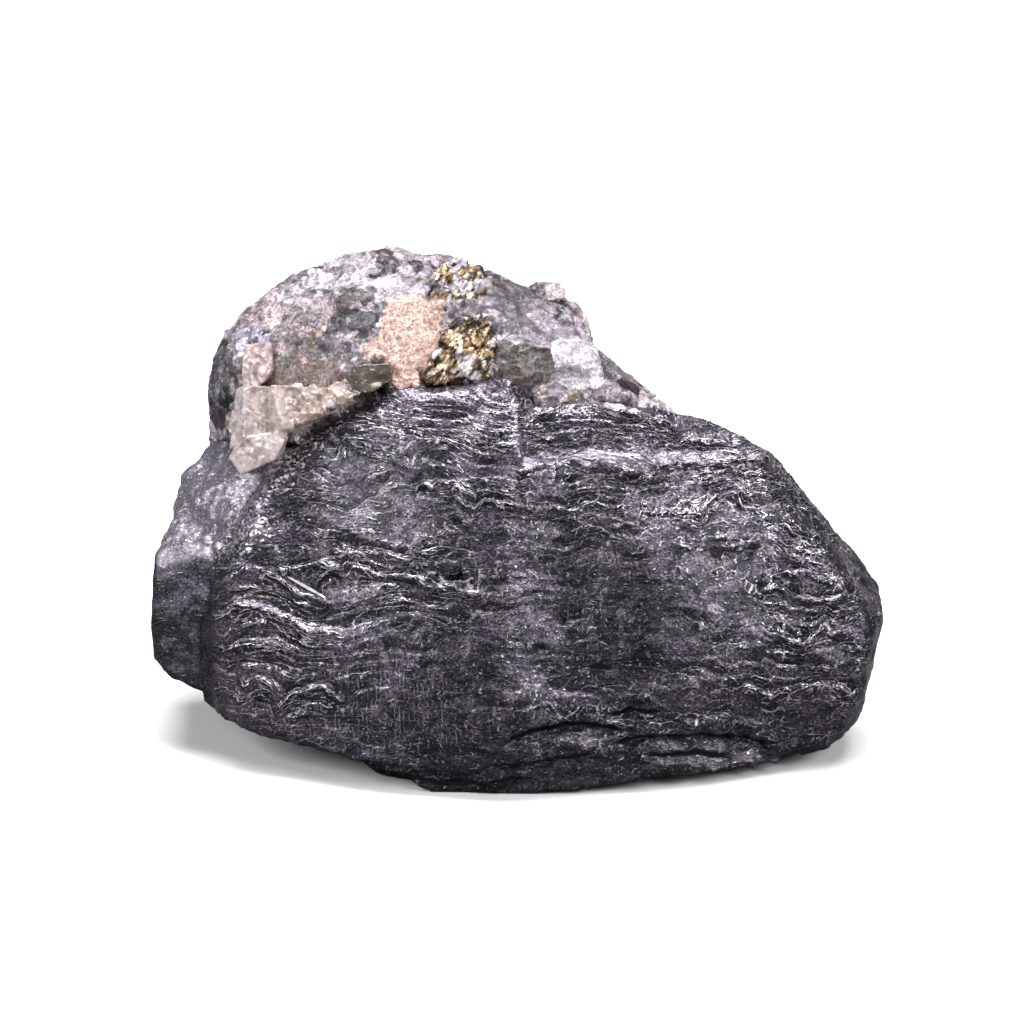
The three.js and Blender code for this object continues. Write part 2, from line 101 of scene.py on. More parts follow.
def chance(cells, seed):
    """A fixed random number from -1 to 1 for each whole-numbered cell; the large numbers stir its bits."""
    i, j, k = cells.T
    code = (i * 374761393 + j * 668265263 + k * 362437 + seed * 1274126177) & 0xFFFFFFFF
    code = ((code ^ (code >> 13)) * 1103515245) & 0xFFFFFFFF
    code = ((code ^ (code >> 15)) * 2246822519) & 0xFFFFFFFF
    return ((code ^ (code >> 16)) & 0xFFFF) / 32767.5 - 1


def rough_drift(points, seed):
    """Drift with finer and weaker drift on top of it."""
    total = sum(drift(points * FINER**n + 17.1 * n, seed + n) / WEAKER**n for n in range(OCTAVES))
    return total / sum(1 / WEAKER**n for n in range(OCTAVES)) * 1.4


def eased(values, start, end):
    t = np.clip((values - start) / (end - start), 0, 1)
    return t * t * (3 - 2 * t)


def blurred(u, v, values, counted, reach):
    """Values over the plane of u and v, blurred over a reach by a Gaussian of the counted ones alone."""
    columns, rows = np.floor(u - u.min()).astype(int), np.floor(v - v.min()).astype(int)
    shape = (columns.max() + 2, rows.max() + 2)
    cells = np.ravel_multi_index((columns, rows), shape)
    weighting = np.exp(-0.5 * (np.arange(-3 * reach, 3 * reach + 1) / reach) ** 2)
    planes = []
    for weights in (values * counted, counted * 1.0):
        plane = np.bincount(cells, weights, shape[0] * shape[1]).reshape(shape)
        for axis in (0, 1):
            plane = np.apply_along_axis(np.convolve, axis, plane, weighting, "same")
        planes.append(plane)
    mean = planes[0] / planes[1].clip(1e-9)
    s, t = (u - u.min()) % 1, (v - v.min()) % 1
    low = mean[columns, rows] * (1 - s) + mean[columns + 1, rows] * s
    return low * (1 - t) + (mean[columns, rows + 1] * (1 - s) + mean[columns + 1, rows + 1] * s) * t


def skin_of(name, cell, up=None):
    """A new piece over a CAD node: even quads that lie on it, halved where they look forward or up.

    Up is how much looking up counts for that; without it no quad is halved.
    """
    solid = bmesh.new()
    solid.from_mesh(nodes[name].data)
    bmesh.ops.remove_doubles(solid, verts=solid.verts, dist=MEET)
    surface = BVHTree.FromBMesh(solid)
    rough = bpy.data.meshes.new(name + "_skin")
    solid.to_mesh(rough)
    solid.free()
    piece = bpy.data.objects.new(name + "_skin", rough)
    bpy.context.scene.collection.objects.link(piece)
    skin = piece.modifiers.new("skin", "REMESH")
    skin.mode = "VOXEL"
    skin.voxel_size = cell * MM
    evaluated = piece.evaluated_get(bpy.context.evaluated_depsgraph_get())
    even = bpy.data.meshes.new_from_object(evaluated)
    piece.modifiers.clear()
    piece.data = even
    bpy.data.meshes.remove(rough)
    fine = bmesh.new()
    fine.from_mesh(even)
    fine.normal_update()
    if up is not None:
        out = [f for f in fine.faces if -f.normal.y * FORWARD + f.normal.z * up > FACES_OUT]
        edges = {e for f in out for e in f.edges}
        bmesh.ops.subdivide_edges(fine, edges=list(edges), cuts=1, use_grid_fill=True)
    for vert in fine.verts:
        vert.co = surface.find_nearest(vert.co)[0]
    fine.to_mesh(even)
    fine.free()
    for polygon in even.polygons:
        polygon.use_smooth = True
    return piece


def read_points(mesh):
    co = np.empty(len(mesh.vertices) * 3)
    mesh.vertices.foreach_get("co", co)
    return co.reshape(-1, 3)


def ring_mean(mesh, rows, rounds, share=1.0):
    """Evens rows, one to a vertex, with those of the neighbours, a number of times over."""
    ends = np.empty(len(mesh.edges) * 2, np.int32)
    mesh.edges.foreach_get("vertices", ends)
    a, b = ends.reshape(-1, 2).T
    count = len(rows)
    around = (np.bincount(a, minlength=count) + np.bincount(b, minlength=count)).clip(1)[:, None]
    share = np.broadcast_to(np.asarray(share, float).reshape(-1, 1), (count, 1))
    for _ in range(rounds):
        total = [np.bincount(a, r[b], count) + np.bincount(b, r[a], count) for r in rows.T]
        rows = rows + share * (np.stack(total, 1) / around - rows)
    return rows


def read_normals(mesh, rounds):
    """Vertex normals, evened out over a few rings of neighbours so that relief grows straight."""
    normals = np.empty(len(mesh.vertices) * 3)
    mesh.vertex_normals.foreach_get("vector", normals)
    normals = ring_mean(mesh, normals.reshape(-1, 3), rounds)
    return normals / np.linalg.norm(normals, axis=1)[:, None].clip(1e-9)


def put_points(mesh, points):
    """Moves the vertices, none of them out of the lump's own box."""
    points = np.clip(points, np.array(cad_low), np.array(cad_high))
    mesh.vertices.foreach_set("co", points.ravel())
    mesh.update()


def keep(mesh, name, values):
    """Stores a number or a colour for each vertex, for the material to read."""
    if values.ndim == 1:
        mesh.attributes.new(name, "FLOAT", "POINT").data.foreach_set("value", values.astype(np.float32))
    else:
        full = np.concatenate([values, np.ones((len(values), 1))], 1).astype(np.float32)
        mesh.attributes.new(name, "FLOAT_COLOR", "POINT").data.foreach_set("color", full.ravel())


galena = skin_of("galena_mass", GALENA_CELL, up=0.5)

# The broad face is evened first, so that all its ledges are the ones below.
EVEN_ROUNDS = 40  # rings of neighbours that each corner of the mesh is evened over
EVEN_ELSEWHERE = 0.012  # how far a round evens what isn't the broad face
EVEN_FACE = 0.9  # and how much further the face itself
FACE_LEFT, FACE_RIGHT, FACE_FOOT = (-32.5, -30.5), (38, 40), (1.0, 4.0)  # the broad face ends between these
RECESS_SLOPE, RECESS_OFF = 0.54, 45.4  # the line between the broad face and the left recess
BLUR_REACH = 4  # how far the broad face is blurred
points = read_points(galena.data)
along, _, climb = across_face(points).T
facing = turned_to_face(read_normals(galena.data, 4))
right_of_recess = along - RECESS_SLOPE * climb + RECESS_OFF
broad = eased(-facing[:, 1], 0.2, 0.55) * eased(right_of_recess, 0, 2) * (1 - eased(along, *FACE_RIGHT))
broad *= eased(climb, *FACE_FOOT) * eased(along, *FACE_LEFT)
points = ring_mean(galena.data, points, EVEN_ROUNDS, EVEN_ELSEWHERE + EVEN_FACE * broad)
deep = across_face(points)[:, 1]
offset = (blurred(along, climb, deep, broad > 0.5, BLUR_REACH) - deep) * broad
offset = ring_mean(galena.data, offset[:, None], EVEN_ROUNDS)
points += offset * np.array([0, math.cos(LEAN), -math.sin(LEAN)]) * MM
put_points(galena.data, points)
normals = read_normals(galena.data, 7)
place = across_face(points)
along, _, climb = place.T
front = eased(-turned_to_face(normals)[:, 1], 0.1, 0.5)


def bell(u, v, width, height):
    """One at a spot of the face, fading away from it over a half width and a half height."""
    return np.exp(-(((along - u) / width) ** 2) - ((climb - v) / height) ** 2)


# Places where the plates are many and thin, as (along, climb, half width, half height, strength, dip, arch,
# pack): dip is how the lips there run downhill to the right, arch how they bow over its middle, and pack how
# much closer they lie.
PLATE_SWARMS = [
    (-26.0, 19.0, 7.0, 6.0, 1.0, 0.16, 0.045, 0.15),
    (-8.5, 41.5, 13.0, 3.0, 0.95, 0.20, 0.0, 0.5),
    (-4.0, 35.5, 6.0, 4.5, 0.65, 0.28, 0.0, 0.3),
    (-12.0, 24.0, 8.5, 3.6, 1.0, 0.20, 0.0, 0.15),
    (-20.0, 33.0, 4.0, 8.0, 0.30, 0.30, 0.0, 0.0),
    (10.0, 41.0, 11.0, 2.6, 1.0, 0.08, 0.0, 0.4),
    (12.0, 31.5, 8.0, 2.6, 0.6, 0.0, 0.0, 0.0),
    (24.0, 35.5, 9.0, 4.0, 1.1, 0.12, 0.0, 0.4),
    (31.5, 29.0, 6.5, 6.0, 0.9, 0.35, 0.0, 0.0),
    (31.0, 18.5, 7.0, 8.0, 0.6, -0.10, -0.02, 0.0),
    (-24.0, 10.5, 7.0, 3.0, 0.6, 0.0, 0.03, 0.0),
    (13.0, 9.0, 14.0, 3.6, 0.5, -0.04, 0.0, 0.0),
]
CALM = 0.20  # strength of the plates everywhere else
SLAB = 1.5  # the usual thickness of a plate
BENDS, KINKS = 1.8, 0.42  # how far the plates wander over some 9 mm, and over some 3 mm
busy = np.full(len(points), CALM)
flow = climb.copy()
for u, v, width, height, strength, dip, arch, pack in PLATE_SWARMS:
    near = bell(u, v, width, height)
    busy += near * strength
    flow += near * (dip * (along - u) + arch * (along - u) ** 2 + pack * (climb - v))
flow += BENDS * rough_drift(place * [1 / 9, 1 / 9, 1 / 7], 3)
flow += KINKS * rough_drift(place * [1 / 3.4, 1 / 3, 1 / 2.2], 5)

# The lips that run far, as (how far they step back, the width of the tread, how far it takes to even out, and
# their line as along and climb).
LIPS = [
    (1.20, 1.7, 5.0, [(0.6, 35.3), (3.1, 36.0), (9.7, 36.0), (15.2, 35.5), (20.7, 36.2), (28.5, 37.2)]),
    (0.80, 1.3, 3.0, [(1.6, 41.2), (5.0, 42.4), (10.0, 42.0), (14.5, 41.2), (19.0, 39.6)]),
    (0.50, 0.3, 1.6, [(-6.6, 33.4), (-5.2, 32.0), (-4.0, 31.3), (-3.3, 32.1), (0.9, 31.8), (7.5, 31.2)]),
    (0.50, 0.3, 1.8, [(-19.8, 26.9), (-16.7, 26.5), (-14.0, 26.7), (-10.4, 25.2)]),
    (0.50, 0.4, 1.8, [(-18.0, 25.7), (-13.4, 24.3), (-9.0, 23.5), (-4.4, 22.4), (-2.6, 22.4)]),
    (0.40, 0.3, 1.4, [(-12.6, 22.1), (-9.6, 21.2), (-6.4, 20.3)]),
    (0.40, 0.3, 1.6, [(-18.8, 38.2), (-15.4, 37.1), (-12.4, 36.1), (-9.6, 35.6)]),
    (0.60, 0.5, 1.4, [(-31.6, 23.4), (-28.8, 25.0), (-26.2, 24.6), (-22.8, 22.4), (-19.6, 21.0)]),
    (0.70, 0.8, 1.5, [(-32.6, 19.2), (-30.0, 20.9), (-27.2, 21.2), (-24.6, 19.6), (-21.8, 18.2),
                      (-18.6, 18.4)]),
    (0.60, 0.5, 1.5, [(-32.0, 15.9), (-29.0, 16.8), (-25.4, 17.1), (-22.4, 15.6)]),
    (0.50, 0.4, 1.3, [(-29.7, 11.4), (-27.6, 12.9), (-25.8, 12.6), (-23.6, 11.0)]),
    (0.50, 0.4, 1.3, [(-26.0, 9.0), (-23.4, 11.8), (-20.0, 12.4), (-17.4, 10.8)]),
    (0.40, 0.3, 1.2, [(-24.9, 9.1), (-20.6, 9.2)]),
    (0.90, 1.0, 1.6, [(17.8, 38.8), (21.2, 38.9), (25.4, 38.2)]),
    (0.50, 0.4, 1.8, [(13.2, 31.2), (20.2, 30.7), (21.7, 32.4), (25.2, 33.2)]),
    (0.50, 0.3, 1.8, [(16.8, 27.4), (22.2, 27.3), (26.6, 27.6)]),
    (0.60, 0.4, 1.8, [(26.2, 21.9), (28.4, 23.0), (29.8, 21.9), (33.4, 21.2), (38.0, 22.2)]),
    (0.50, 0.3, 1.5, [(27.8, 18.4), (31.3, 16.4), (34.5, 19.7)]),
    (0.40, 0.3, 1.4, [(26.6, 14.6), (29.8, 14.2), (31.6, 14.5), (35.2, 13.8)]),
    (0.45, 0.3, 1.4, [(24.2, 12.4), (28.0, 11.6), (33.0, 12.2), (37.2, 11.4)]),
    (0.40, 0.3, 1.2, [(29.8, 29.4), (33.6, 28.4), (36.2, 27.6)]),
]
# Plates that hang over a gap, written the same way without a tread.
OVERHANGS = [
    (1.5, 2.6, [(-20.4, 5.6), (-15.0, 4.5), (-9.4, 3.6), (-5.4, 3.3), (0.8, 4.5), (6.0, 5.1), (9.0, 5.7)]),
    (1.5, 2.4, [(10.6, 6.7), (14.0, 7.2), (20.8, 7.4), (25.0, 7.0), (28.0, 6.0)]),
    (1.2, 2.0, [(-1.2, 6.6), (2.0, 7.9), (6.0, 8.7), (9.6, 8.7), (12.4, 8.2)]),
    (0.9, 1.5, [(9.8, 9.9), (12.6, 10.2), (16.6, 10.0)]),
    (0.6, 1.2, [(11.6, 11.2), (14.8, 10.9)]),
    (0.5, 1.2, [(7.0, 14.8), (9.0, 14.6), (11.4, 14.9)]),
    (0.5, 1.2, [(1.8, 17.1), (4.4, 17.0)]),
    (0.7, 1.6, [(-20.4, 25.4), (-18.4, 24.0), (-17.6, 23.6)]),
    (0.7, 1.6, [(-14.0, 3.0), (-8.0, 1.9), (-3.0, 1.9), (3.0, 2.8)]),
    (0.6, 1.4, [(14.0, 5.2), (20.0, 5.6), (24.0, 5.0)]),
]
# Upright steps, as (how far the side on the right is set back, how far it takes to even out, and their line
# as climb and along).
WALLS = [
    (0.9, 5.0, [(36.0, 0.9), (38.5, 1.1), (41.0, 0.7), (43.6, 0.5)]),
    (0.3, 1.6, [(6.0, -12.2), (9.0, -12.4), (13.4, -12.9), (17.8, -14.2)]),
    (-0.12, 1.4, [(13.6, -5.6), (19.6, -4.4), (23.0, -3.4)]),
    (-0.5, 0.7, [(6.0, -31.6), (11.0, -32.2), (17.0, -32.9), (22.0, -32.7), (25.5, -31.6)]),
]
# Holes where a cube of ore has dropped out, as (along, climb, half width, half height, depth).
PITS = [
    (-6.4, 24.1, 1.30, 0.35, 0.9),
    (-5.6, 24.5, 0.45, 0.70, 0.6),
    (-3.8, 21.0, 1.3, 0.8, 0.45),
    (5.9, 34.3, 1.20, 0.30, 0.6),
    (-6.2, 29.9, 0.5, 0.4, 0.55),
    (-9.2, 33.0, 0.9, 0.6, 0.45),
    (5.4, 27.4, 0.9, 0.5, 0.5),
    (-17.6, 27.9, 1.4, 0.8, 0.5),
    (-12.6, 23.6, 0.8, 0.35, 0.5),
    (23.0, 26.2, 1.2, 0.4, 0.5),
]


def span(values, line, fade):
    """Where a broken line runs at each of values, and how strong it is there, fading out at its ends."""
    at, across = np.array(line).T
    strong = eased(values, at[0] - 0.2, at[0] + fade) * (1 - eased(values, at[-1] - fade, at[-1] + 0.2))
    return np.interp(values, at, across), strong


stands = np.zeros(len(points))  # how far the relief stands out of the evened face
# tread_here marks the up-facing treads and the lit side of the upright steps, where the material paints a
# highlight.
tread_here = np.zeros(len(points))  # the wide ledges that face up
sure = np.zeros(len(points))  # where a lip is bound to show
ragged = 0.16 * rough_drift(place * [1 / 0.7, 1 / 0.6, 1 / 0.6], 11)
wobble = 1.2 * ragged + 0.45 * drift(place / 2.1, 13)
for step, tread, over, line in LIPS:
    lip, strong = span(along, line, 1.2)
    above = climb - lip + wobble
    near = strong * np.exp(-((above / 1.6) ** 2))
    # The plates bend to end along the lip.
    level = np.round(np.mean((flow - above)[near > 0.5] / SLAB)) * SLAB
    flow += near * (level + above - flow)
    sure = np.maximum(sure, near)
    stands += step * strong * np.interp(above, [-over, 0, tread, tread + over], [0, 0.4, -0.6, 0])
    wide = np.interp(above, [-0.1, 0.1, 0.8 * tread, tread + 0.3], [0, 1, 0.7, 0]) * eased(tread, 0.4, 0.9)
    tread_here = np.maximum(tread_here, strong * wide)
    busy += 0.3 * strong * np.exp(-((above / 1.2) ** 2))
# gaps and hollow mark the undercuts and the pits, where the material paints shade.
gaps = np.zeros(len(points))
for step, over, line in OVERHANGS:
    lip, strong = span(along, line, 1.6)
    below = climb - lip + 0.8 * wobble
    stands += step * strong * np.interp(below, [-over - 0.5, -0.5, 0, over], [0, -0.75, 0.25, 0])
    gaps = np.maximum(gaps, strong * np.interp(below, [-0.9, -0.4, -0.15, 0.15], [0, 1, 1, 0]))
for step, over, line in WALLS:
    wall, strong = span(climb, line, 0.8)
    beyond = along - wall + wobble
    stands += step * strong * np.interp(beyond, [-over, 0, 0.35, over], [0, 0.4, -0.6, 0])
    # The side of each upright step that the light reaches is marked for a painted highlight.
    edge = [-0.25 - 0.6 * abs(step), -0.1 - 0.3 * abs(step), 0.15, 0.35]
    edge = np.interp(beyond + 2.5 * ragged, edge, [0, 1, 1, 0])
    tread_here = np.maximum(tread_here, min(1.0, 1.6 * abs(step)) * strong * edge)
hollow = np.zeros(len(points))
for u, v, width, height, depth in PITS:
    bent = along + 0.35 * (climb - v) + 2.0 * ragged
    far = np.hypot((bent - u) / width, (climb - v) / height) + 2.6 * ragged
    near = 1 - eased(far, 0.4, 1.5)
    stands -= near * depth
    hollow = np.maximum(hollow, near * min(1.0, depth))

SLAB_STEP = 0.34  # how far the lips of the plates stand out
LEAF = SLAB / 2  # the thin ones
LEAF_STEP = 0.14
strength = np.clip(busy, 0, 1.3)
patchy = eased(rough_drift(place * [1 / 5, 1 / 5, 1 / 2.2], 21), -0.35, 0.6)
slab = np.interp((flow + ragged) / SLAB % 1, [0, 0.16, 1], [0, -0.5, 0.5])
leaf = np.interp((flow + 1.3 * ragged) / LEAF % 1, [0, 0.24, 1], [0, -0.5, 0.5])
stands += SLAB_STEP * slab * (0.25 + 0.75 * strength) * (0.2 + 0.8 * np.maximum(patchy, sure))
stands += LEAF_STEP * leaf * strength * (0.35 + 0.65 * (1 - patchy))

# Columns: fine upright grooves where the second cleavage shows, on the lower left of the broad face, as
# (along, climb, half width, half height, share).
COLUMNS = [(-13, 9.5, 8, 7, 1.0), (-21, 6, 7, 4, 0.8), (8, 19, 3.5, 4, 0.4)]
COLUMN_DEPTH = 0.14
TOOTH = 0.025  # the fine roughness everywhere
LUMPS, BACK_LUMPS = 0.12, 0.40  # the coarse roughness everywhere, and what the sides and back have on top
upright = np.zeros(len(points))
for *spot, share in COLUMNS:
    upright = np.maximum(upright, share * bell(*spot))
stands += COLUMN_DEPTH * upright * rough_drift(place * [1 / 0.5, 1 / 4, 1 / 5], 31)
stands += TOOTH * rough_drift(place / 0.6, 41)
stands += BACK_LUMPS * rough_drift(place / 2.4, 43) * (1 - broad) + LUMPS * rough_drift(place / 2.4, 45)

# The block at the left end is cleaved flat, and the relief fades towards the back and the resting flat.
BLOCK_SIDE, BLOCK_TOP = (-32.6, -31.6), (25.5, 27.5)  # the block ends between these
block = (1 - eased(along, *BLOCK_SIDE)) * (1 - eased(climb, *BLOCK_TOP))
stands *= 1 - 0.6 * block
stands *= 0.45 + 0.55 * front
stands *= eased(points[:, 2] / MM, 0.2, 1.6)
put_points(galena.data, points + normals * stands[:, None] * MM)

# The recess at the left, above the block, is broken across the plates into bright sugary grains, and a strip
# of crumbs runs along its right edge.
SUGARY_RIGHT, SUGARY_FOOT = (-0.6, 0.8), (25.2, 27.2)  # the grains end between these
CRUMBLY_LEFT, CRUMBLY_RIGHT, CRUMBLY_FOOT = (-2.0, 0.0), (0.5, 5.0), (24.5, 28.0)  # and the crumbs here
CRUMBLY_SHARE = 0.75
sugary = (1 - eased(right_of_recess + 4 * wobble, *SUGARY_RIGHT)) * eased(climb + 3 * wobble, *SUGARY_FOOT)
off_recess = right_of_recess + 3 * wobble
crumbly = (1 - eased(off_recess, *CRUMBLY_RIGHT)) * eased(climb + 3 * wobble, *CRUMBLY_FOOT) * CRUMBLY_SHARE
crumbly *= eased(off_recess, *CRUMBLY_LEFT)
# Painted light and shade: low on the broad face and over the cleaved block the ore is painted darker, and
# along the top, which leans towards the light, it is painted lighter.
LOW_SHADE = 0.46
BLOCK_SHADE = 1.2
left_half = 1 - eased(along, -8, 2)
lit = eased(climb, 30 + 7 * left_half, 41 + 3 * left_half) - 0.3 * left_half * eased(climb, 26, 34)
lit -= LOW_SHADE * (1 - eased(climb + 0.25 * along.clip(-4), 4, 22)) * eased(along, -26, -14)
for name, values in {
    "sugary": sugary,
    "crumbly": crumbly,
    "busy": strength * (1 - block),
    "sure": sure * (1 - block),
    "upright": upright * (1 - block),
    "tread": tread_here * (1 - block),
    "hollow": np.maximum(hollow, gaps),
    "lit": lit - BLOCK_SHADE * block,
    "flow": flow,
}.items():
    keep(galena.data, name, values)


def fill(tree, node, inputs):
    """Gives each named input of a node a value, or joins it to another node's output."""
    for name, value in inputs.items():
        if isinstance(value, bpy.types.NodeSocket):
            tree.links.new(value, node.inputs[name])
        else:
            node.inputs[name].default_value = value


def add(tree, kind, inputs=(), **settings):
    """One node, with its inputs and its settings."""
    node = tree.nodes.new("ShaderNode" + kind)
    for name, value in settings.items():
        setattr(node, name, value)
    fill(tree, node, dict(inputs))
    return node


def reckon(tree, operation, *terms, clamp=False):
    return add(tree, "Math", dict(enumerate(terms)), operation=operation, use_clamp=clamp).outputs[0]


def times(tree, total, *terms):
    for term in terms:
        total = reckon(tree, "MULTIPLY", total, term)
    return total


def most(tree, total, *terms):
    """The largest of several numbers."""
    for term in terms:
        total = reckon(tree, "MAXIMUM", total, term)
    return total


def plus_share(tree, base, term, share):
    """A number with a share of another added to it."""
    return reckon(tree, "MULTIPLY_ADD", term, share, base)


def rest_of(tree, value):
    """One less the value."""
    return reckon(tree, "SUBTRACT", 1.0, value)


def spread(tree, value, low, high, to_low=0.0, to_high=1.0):
    """A number carried from one range to another, and held at its ends."""
    names = {"Value": value, "From Min": low, "From Max": high, "To Min": to_low, "To Max": to_high}
    return add(tree, "MapRange", names).outputs["Result"]


def combined(tree, operation, *terms):
    """What an operation makes of vectors or colours."""
    return add(tree, "VectorMath", dict(enumerate(terms)), operation=operation).outputs[0]


def scaled(tree, vector, *shares):
    """A vector or a colour times each of the shares."""
    for share in shares:
        vector = add(tree, "VectorMath", {0: vector, "Scale": share}, operation="SCALE").outputs[0]
    return vector


def between(tree, share, low, high):
    """A colour between two, by a share from 0 to 1."""
    low, high = ((*c, 1) if isinstance(c, tuple) else c for c in (low, high))
    return add(tree, "Mix", {0: share, 6: low, 7: high}, data_type="RGBA").outputs[2]


def noise(tree, vector, scale, detail, roughness=0.5):
    """Wandering numbers from 0 to 1, as one number and as the three channels of a colour."""
    made = {"Vector": vector, "Scale": scale, "Detail": detail, "Roughness": roughness}
    return add(tree, "TexNoise", made).outputs


def channels(tree, colour):
    return add(tree, "SeparateColor", {0: colour}).outputs


def axes(tree, vector):
    return add(tree, "SeparateXYZ", {0: vector}).outputs


def new_group(name, inputs, outputs):
    """A node group, with the sockets that it is given and the node that takes what it makes."""
    group = bpy.data.node_groups.new(name, "ShaderNodeTree")
    for socket, (kind, value) in inputs.items():
        made = group.interface.new_socket(socket, in_out="INPUT", socket_type="NodeSocket" + kind)
        if value is not None:
            made.default_value = value
    for socket, kind in outputs.items():
        group.interface.new_socket(socket, in_out="OUTPUT", socket_type="NodeSocket" + kind)
    return group, group.nodes.new("NodeGroupInput").outputs, group.nodes.new("NodeGroupOutput")


# Millimetres along, into and up the leaning face, from a piece's own coordinates.
face_measure, given, made = new_group("Face measure", {"Object": ("Vector", None)}, {"Millimetres": "Vector"})
turn = add(face_measure, "Mapping", {
    "Vector": given["Object"],
    "Location": turned_to_face(-FACE_ORIGIN[None])[0],
    "Rotation": (LEAN, 0, 0),
    "Scale": (1 / MM,) * 3,
})
fill(face_measure, made, {"Millimetres": turn.outputs[0]})

# Cleavage plates: the torn edges of a stack of thin plates. Each lip shows along part of its length only,
# with a tread above it and an undercut below it. Its outputs are masks: where ore is shaded, Lip and Tread
# carry painted highlights and Under a painted shadow.
cleavage, given, made = new_group(
    "Cleavage plates",
    {
        "Run": ("Float", 0.0),
        "Climb": ("Float", 0.0),
        "Thickness": ("Float", 1.0),
        "Length": ("Float", 4.0),
        "Share": ("Float", 0.5),
        "Lip width": ("Float", 0.12),
        "Tread width": ("Float", 0.4),
        "Jog": ("Float", 0.3),
        "Shift": ("Float", 0.0),
    },
    {"Lip": "Float", "Tread": "Float", "Under": "Float", "Height": "Float"},
)
CHIP_SCALE = 1.6
CHIP_SHAPE = 1.6  # how much wider than tall the chips of the lips are
chip = reckon(cleavage, "DIVIDE", 0.6, given["Thickness"])
chip = add(cleavage, "CombineXYZ", {
    "X": reckon(cleavage, "MULTIPLY_ADD", given["Run"], chip, given["Shift"]),
    "Y": times(cleavage, given["Climb"], times(cleavage, chip, CHIP_SHAPE)),
})
chip = add(cleavage, "TexVoronoi", {"Vector": chip.outputs[0], "Scale": CHIP_SCALE}, voronoi_dimensions="2D")
chip = reckon(cleavage, "SUBTRACT", channels(cleavage, chip.outputs["Color"])[0], 0.5)
level = reckon(cleavage, "DIVIDE", given["Climb"], given["Thickness"])
level = plus_share(cleavage, reckon(cleavage, "ADD", level, given["Shift"]), chip, given["Jog"])
plate = reckon(cleavage, "FLOOR", level)
part = reckon(cleavage, "SUBTRACT", level, plate)
barely = spread(cleavage, given["Share"], 0.0, 1.0, 0.72, 0.30)  # the noise above which a lip shows
surely = reckon(cleavage, "ADD", barely, 0.04)
reach = reckon(cleavage, "DIVIDE", given["Run"], given["Length"])
ROW_APART = 2.7  # far enough for the rows of noise to have nothing in common
shows = []
for ahead in (0, 1):
    row = times(cleavage, reckon(cleavage, "ADD", plate, ahead), ROW_APART)
    spot = {"X": reach, "Y": reckon(cleavage, "ADD", row, given["Shift"])}
    spot = add(cleavage, "CombineXYZ", spot).outputs[0]
    worn = add(cleavage, "TexNoise", {"Vector": spot, "Scale": 1.0, "Detail": 1.0}, noise_dimensions="2D")
    shows.append(spread(cleavage, worn.outputs[0], barely, surely))
over = times(cleavage, part, given["Thickness"])
under = reckon(cleavage, "SUBTRACT", given["Thickness"], over)
lip = rest_of(cleavage, spread(cleavage, over, 0.0, given["Lip width"]))
tread = rest_of(cleavage, spread(cleavage, over, 0.1, given["Tread width"]))
shade = rest_of(cleavage, spread(cleavage, under, 0.15, 0.42))
fill(cleavage, made, {
    "Lip": times(cleavage, reckon(cleavage, "POWER", lip, 0.4), shows[0]),
    "Tread": times(cleavage, tread, shows[0]),
    "Under": times(cleavage, shade, shows[1]),
    "Height": part,
})

# Scales: flat facets like wide fish scales, each with a bright broken rim around its upper half.
scales, given, made = new_group(
    "Cleavage scales",
    {"Run": ("Float", 0.0), "Climb": ("Float", 0.0), "Wide": ("Float", 2.6), "Tall": ("Float", 1.1)},
    {"Rim": "Float", "Tone": "Float"},
)
wide = reckon(scales, "DIVIDE", given["Run"], given["Wide"])
tall = reckon(scales, "DIVIDE", given["Climb"], given["Tall"])
spot = {"Vector": add(scales, "CombineXYZ", {"X": wide, "Y": tall}).outputs[0], "Scale": 1.0}
cells = add(scales, "TexVoronoi", spot, voronoi_dimensions="2D")
brink = add(scales, "TexVoronoi", spot, voronoi_dimensions="2D", feature="DISTANCE_TO_EDGE")
off = combined(scales, "SUBTRACT", spot["Vector"], cells.outputs["Position"])
upper = spread(scales, axes(scales, off)["Y"], 0.08, 0.30)
rim = rest_of(scales, spread(scales, brink.outputs["Distance"], 0.03, 0.08))
tone = channels(scales, cells.outputs["Color"])[0]
fill(scales, made, {"Rim": times(scales, rim, upper), "Tone": tone})

# Sparkle: small crystal faces that each lean their own way, with random numbers for each of them.
sparkle, given, made = new_group(
    "Crystal sparkle",
    {"Millimetres": ("Vector", None), "Grain": ("Float", 0.25), "Tilt": ("Float", 0.3)},
    {"Normal": "Vector", "Chance": "Float", "Chance two": "Float", "Seam": "Float", "Middle": "Vector"},
)
per_mm = reckon(sparkle, "DIVIDE", 1.0, given["Grain"])
spot = {"Vector": scaled(sparkle, given["Millimetres"], per_mm), "Scale": 1.0}
cells = add(sparkle, "TexVoronoi", spot)
lean = combined(sparkle, "SUBTRACT", cells.outputs["Color"], (0.5,) * 3)
upright = add(sparkle, "NewGeometry").outputs["Normal"]
leaning = combined(sparkle, "ADD", upright, scaled(sparkle, lean, given["Tilt"]))
chances = channels(sparkle, cells.outputs["Color"])
fill(sparkle, made, {
    "Normal": combined(sparkle, "NORMALIZE", leaning),
    "Chance": chances[0],
    "Chance two": chances[1],
    "Seam": add(sparkle, "TexVoronoi", spot, feature="DISTANCE_TO_EDGE").outputs["Distance"],
    "Middle": scaled(sparkle, cells.outputs["Position"], given["Grain"]),
})


def use(tree, group, **inputs):
    """A group placed in a material with its own values, by the names of its sockets."""
    node = tree.nodes.new("ShaderNodeGroup")
    node.node_tree = group
    fill(tree, node, {name.replace("_", " "): value for name, value in inputs.items()})
    return node.outputs


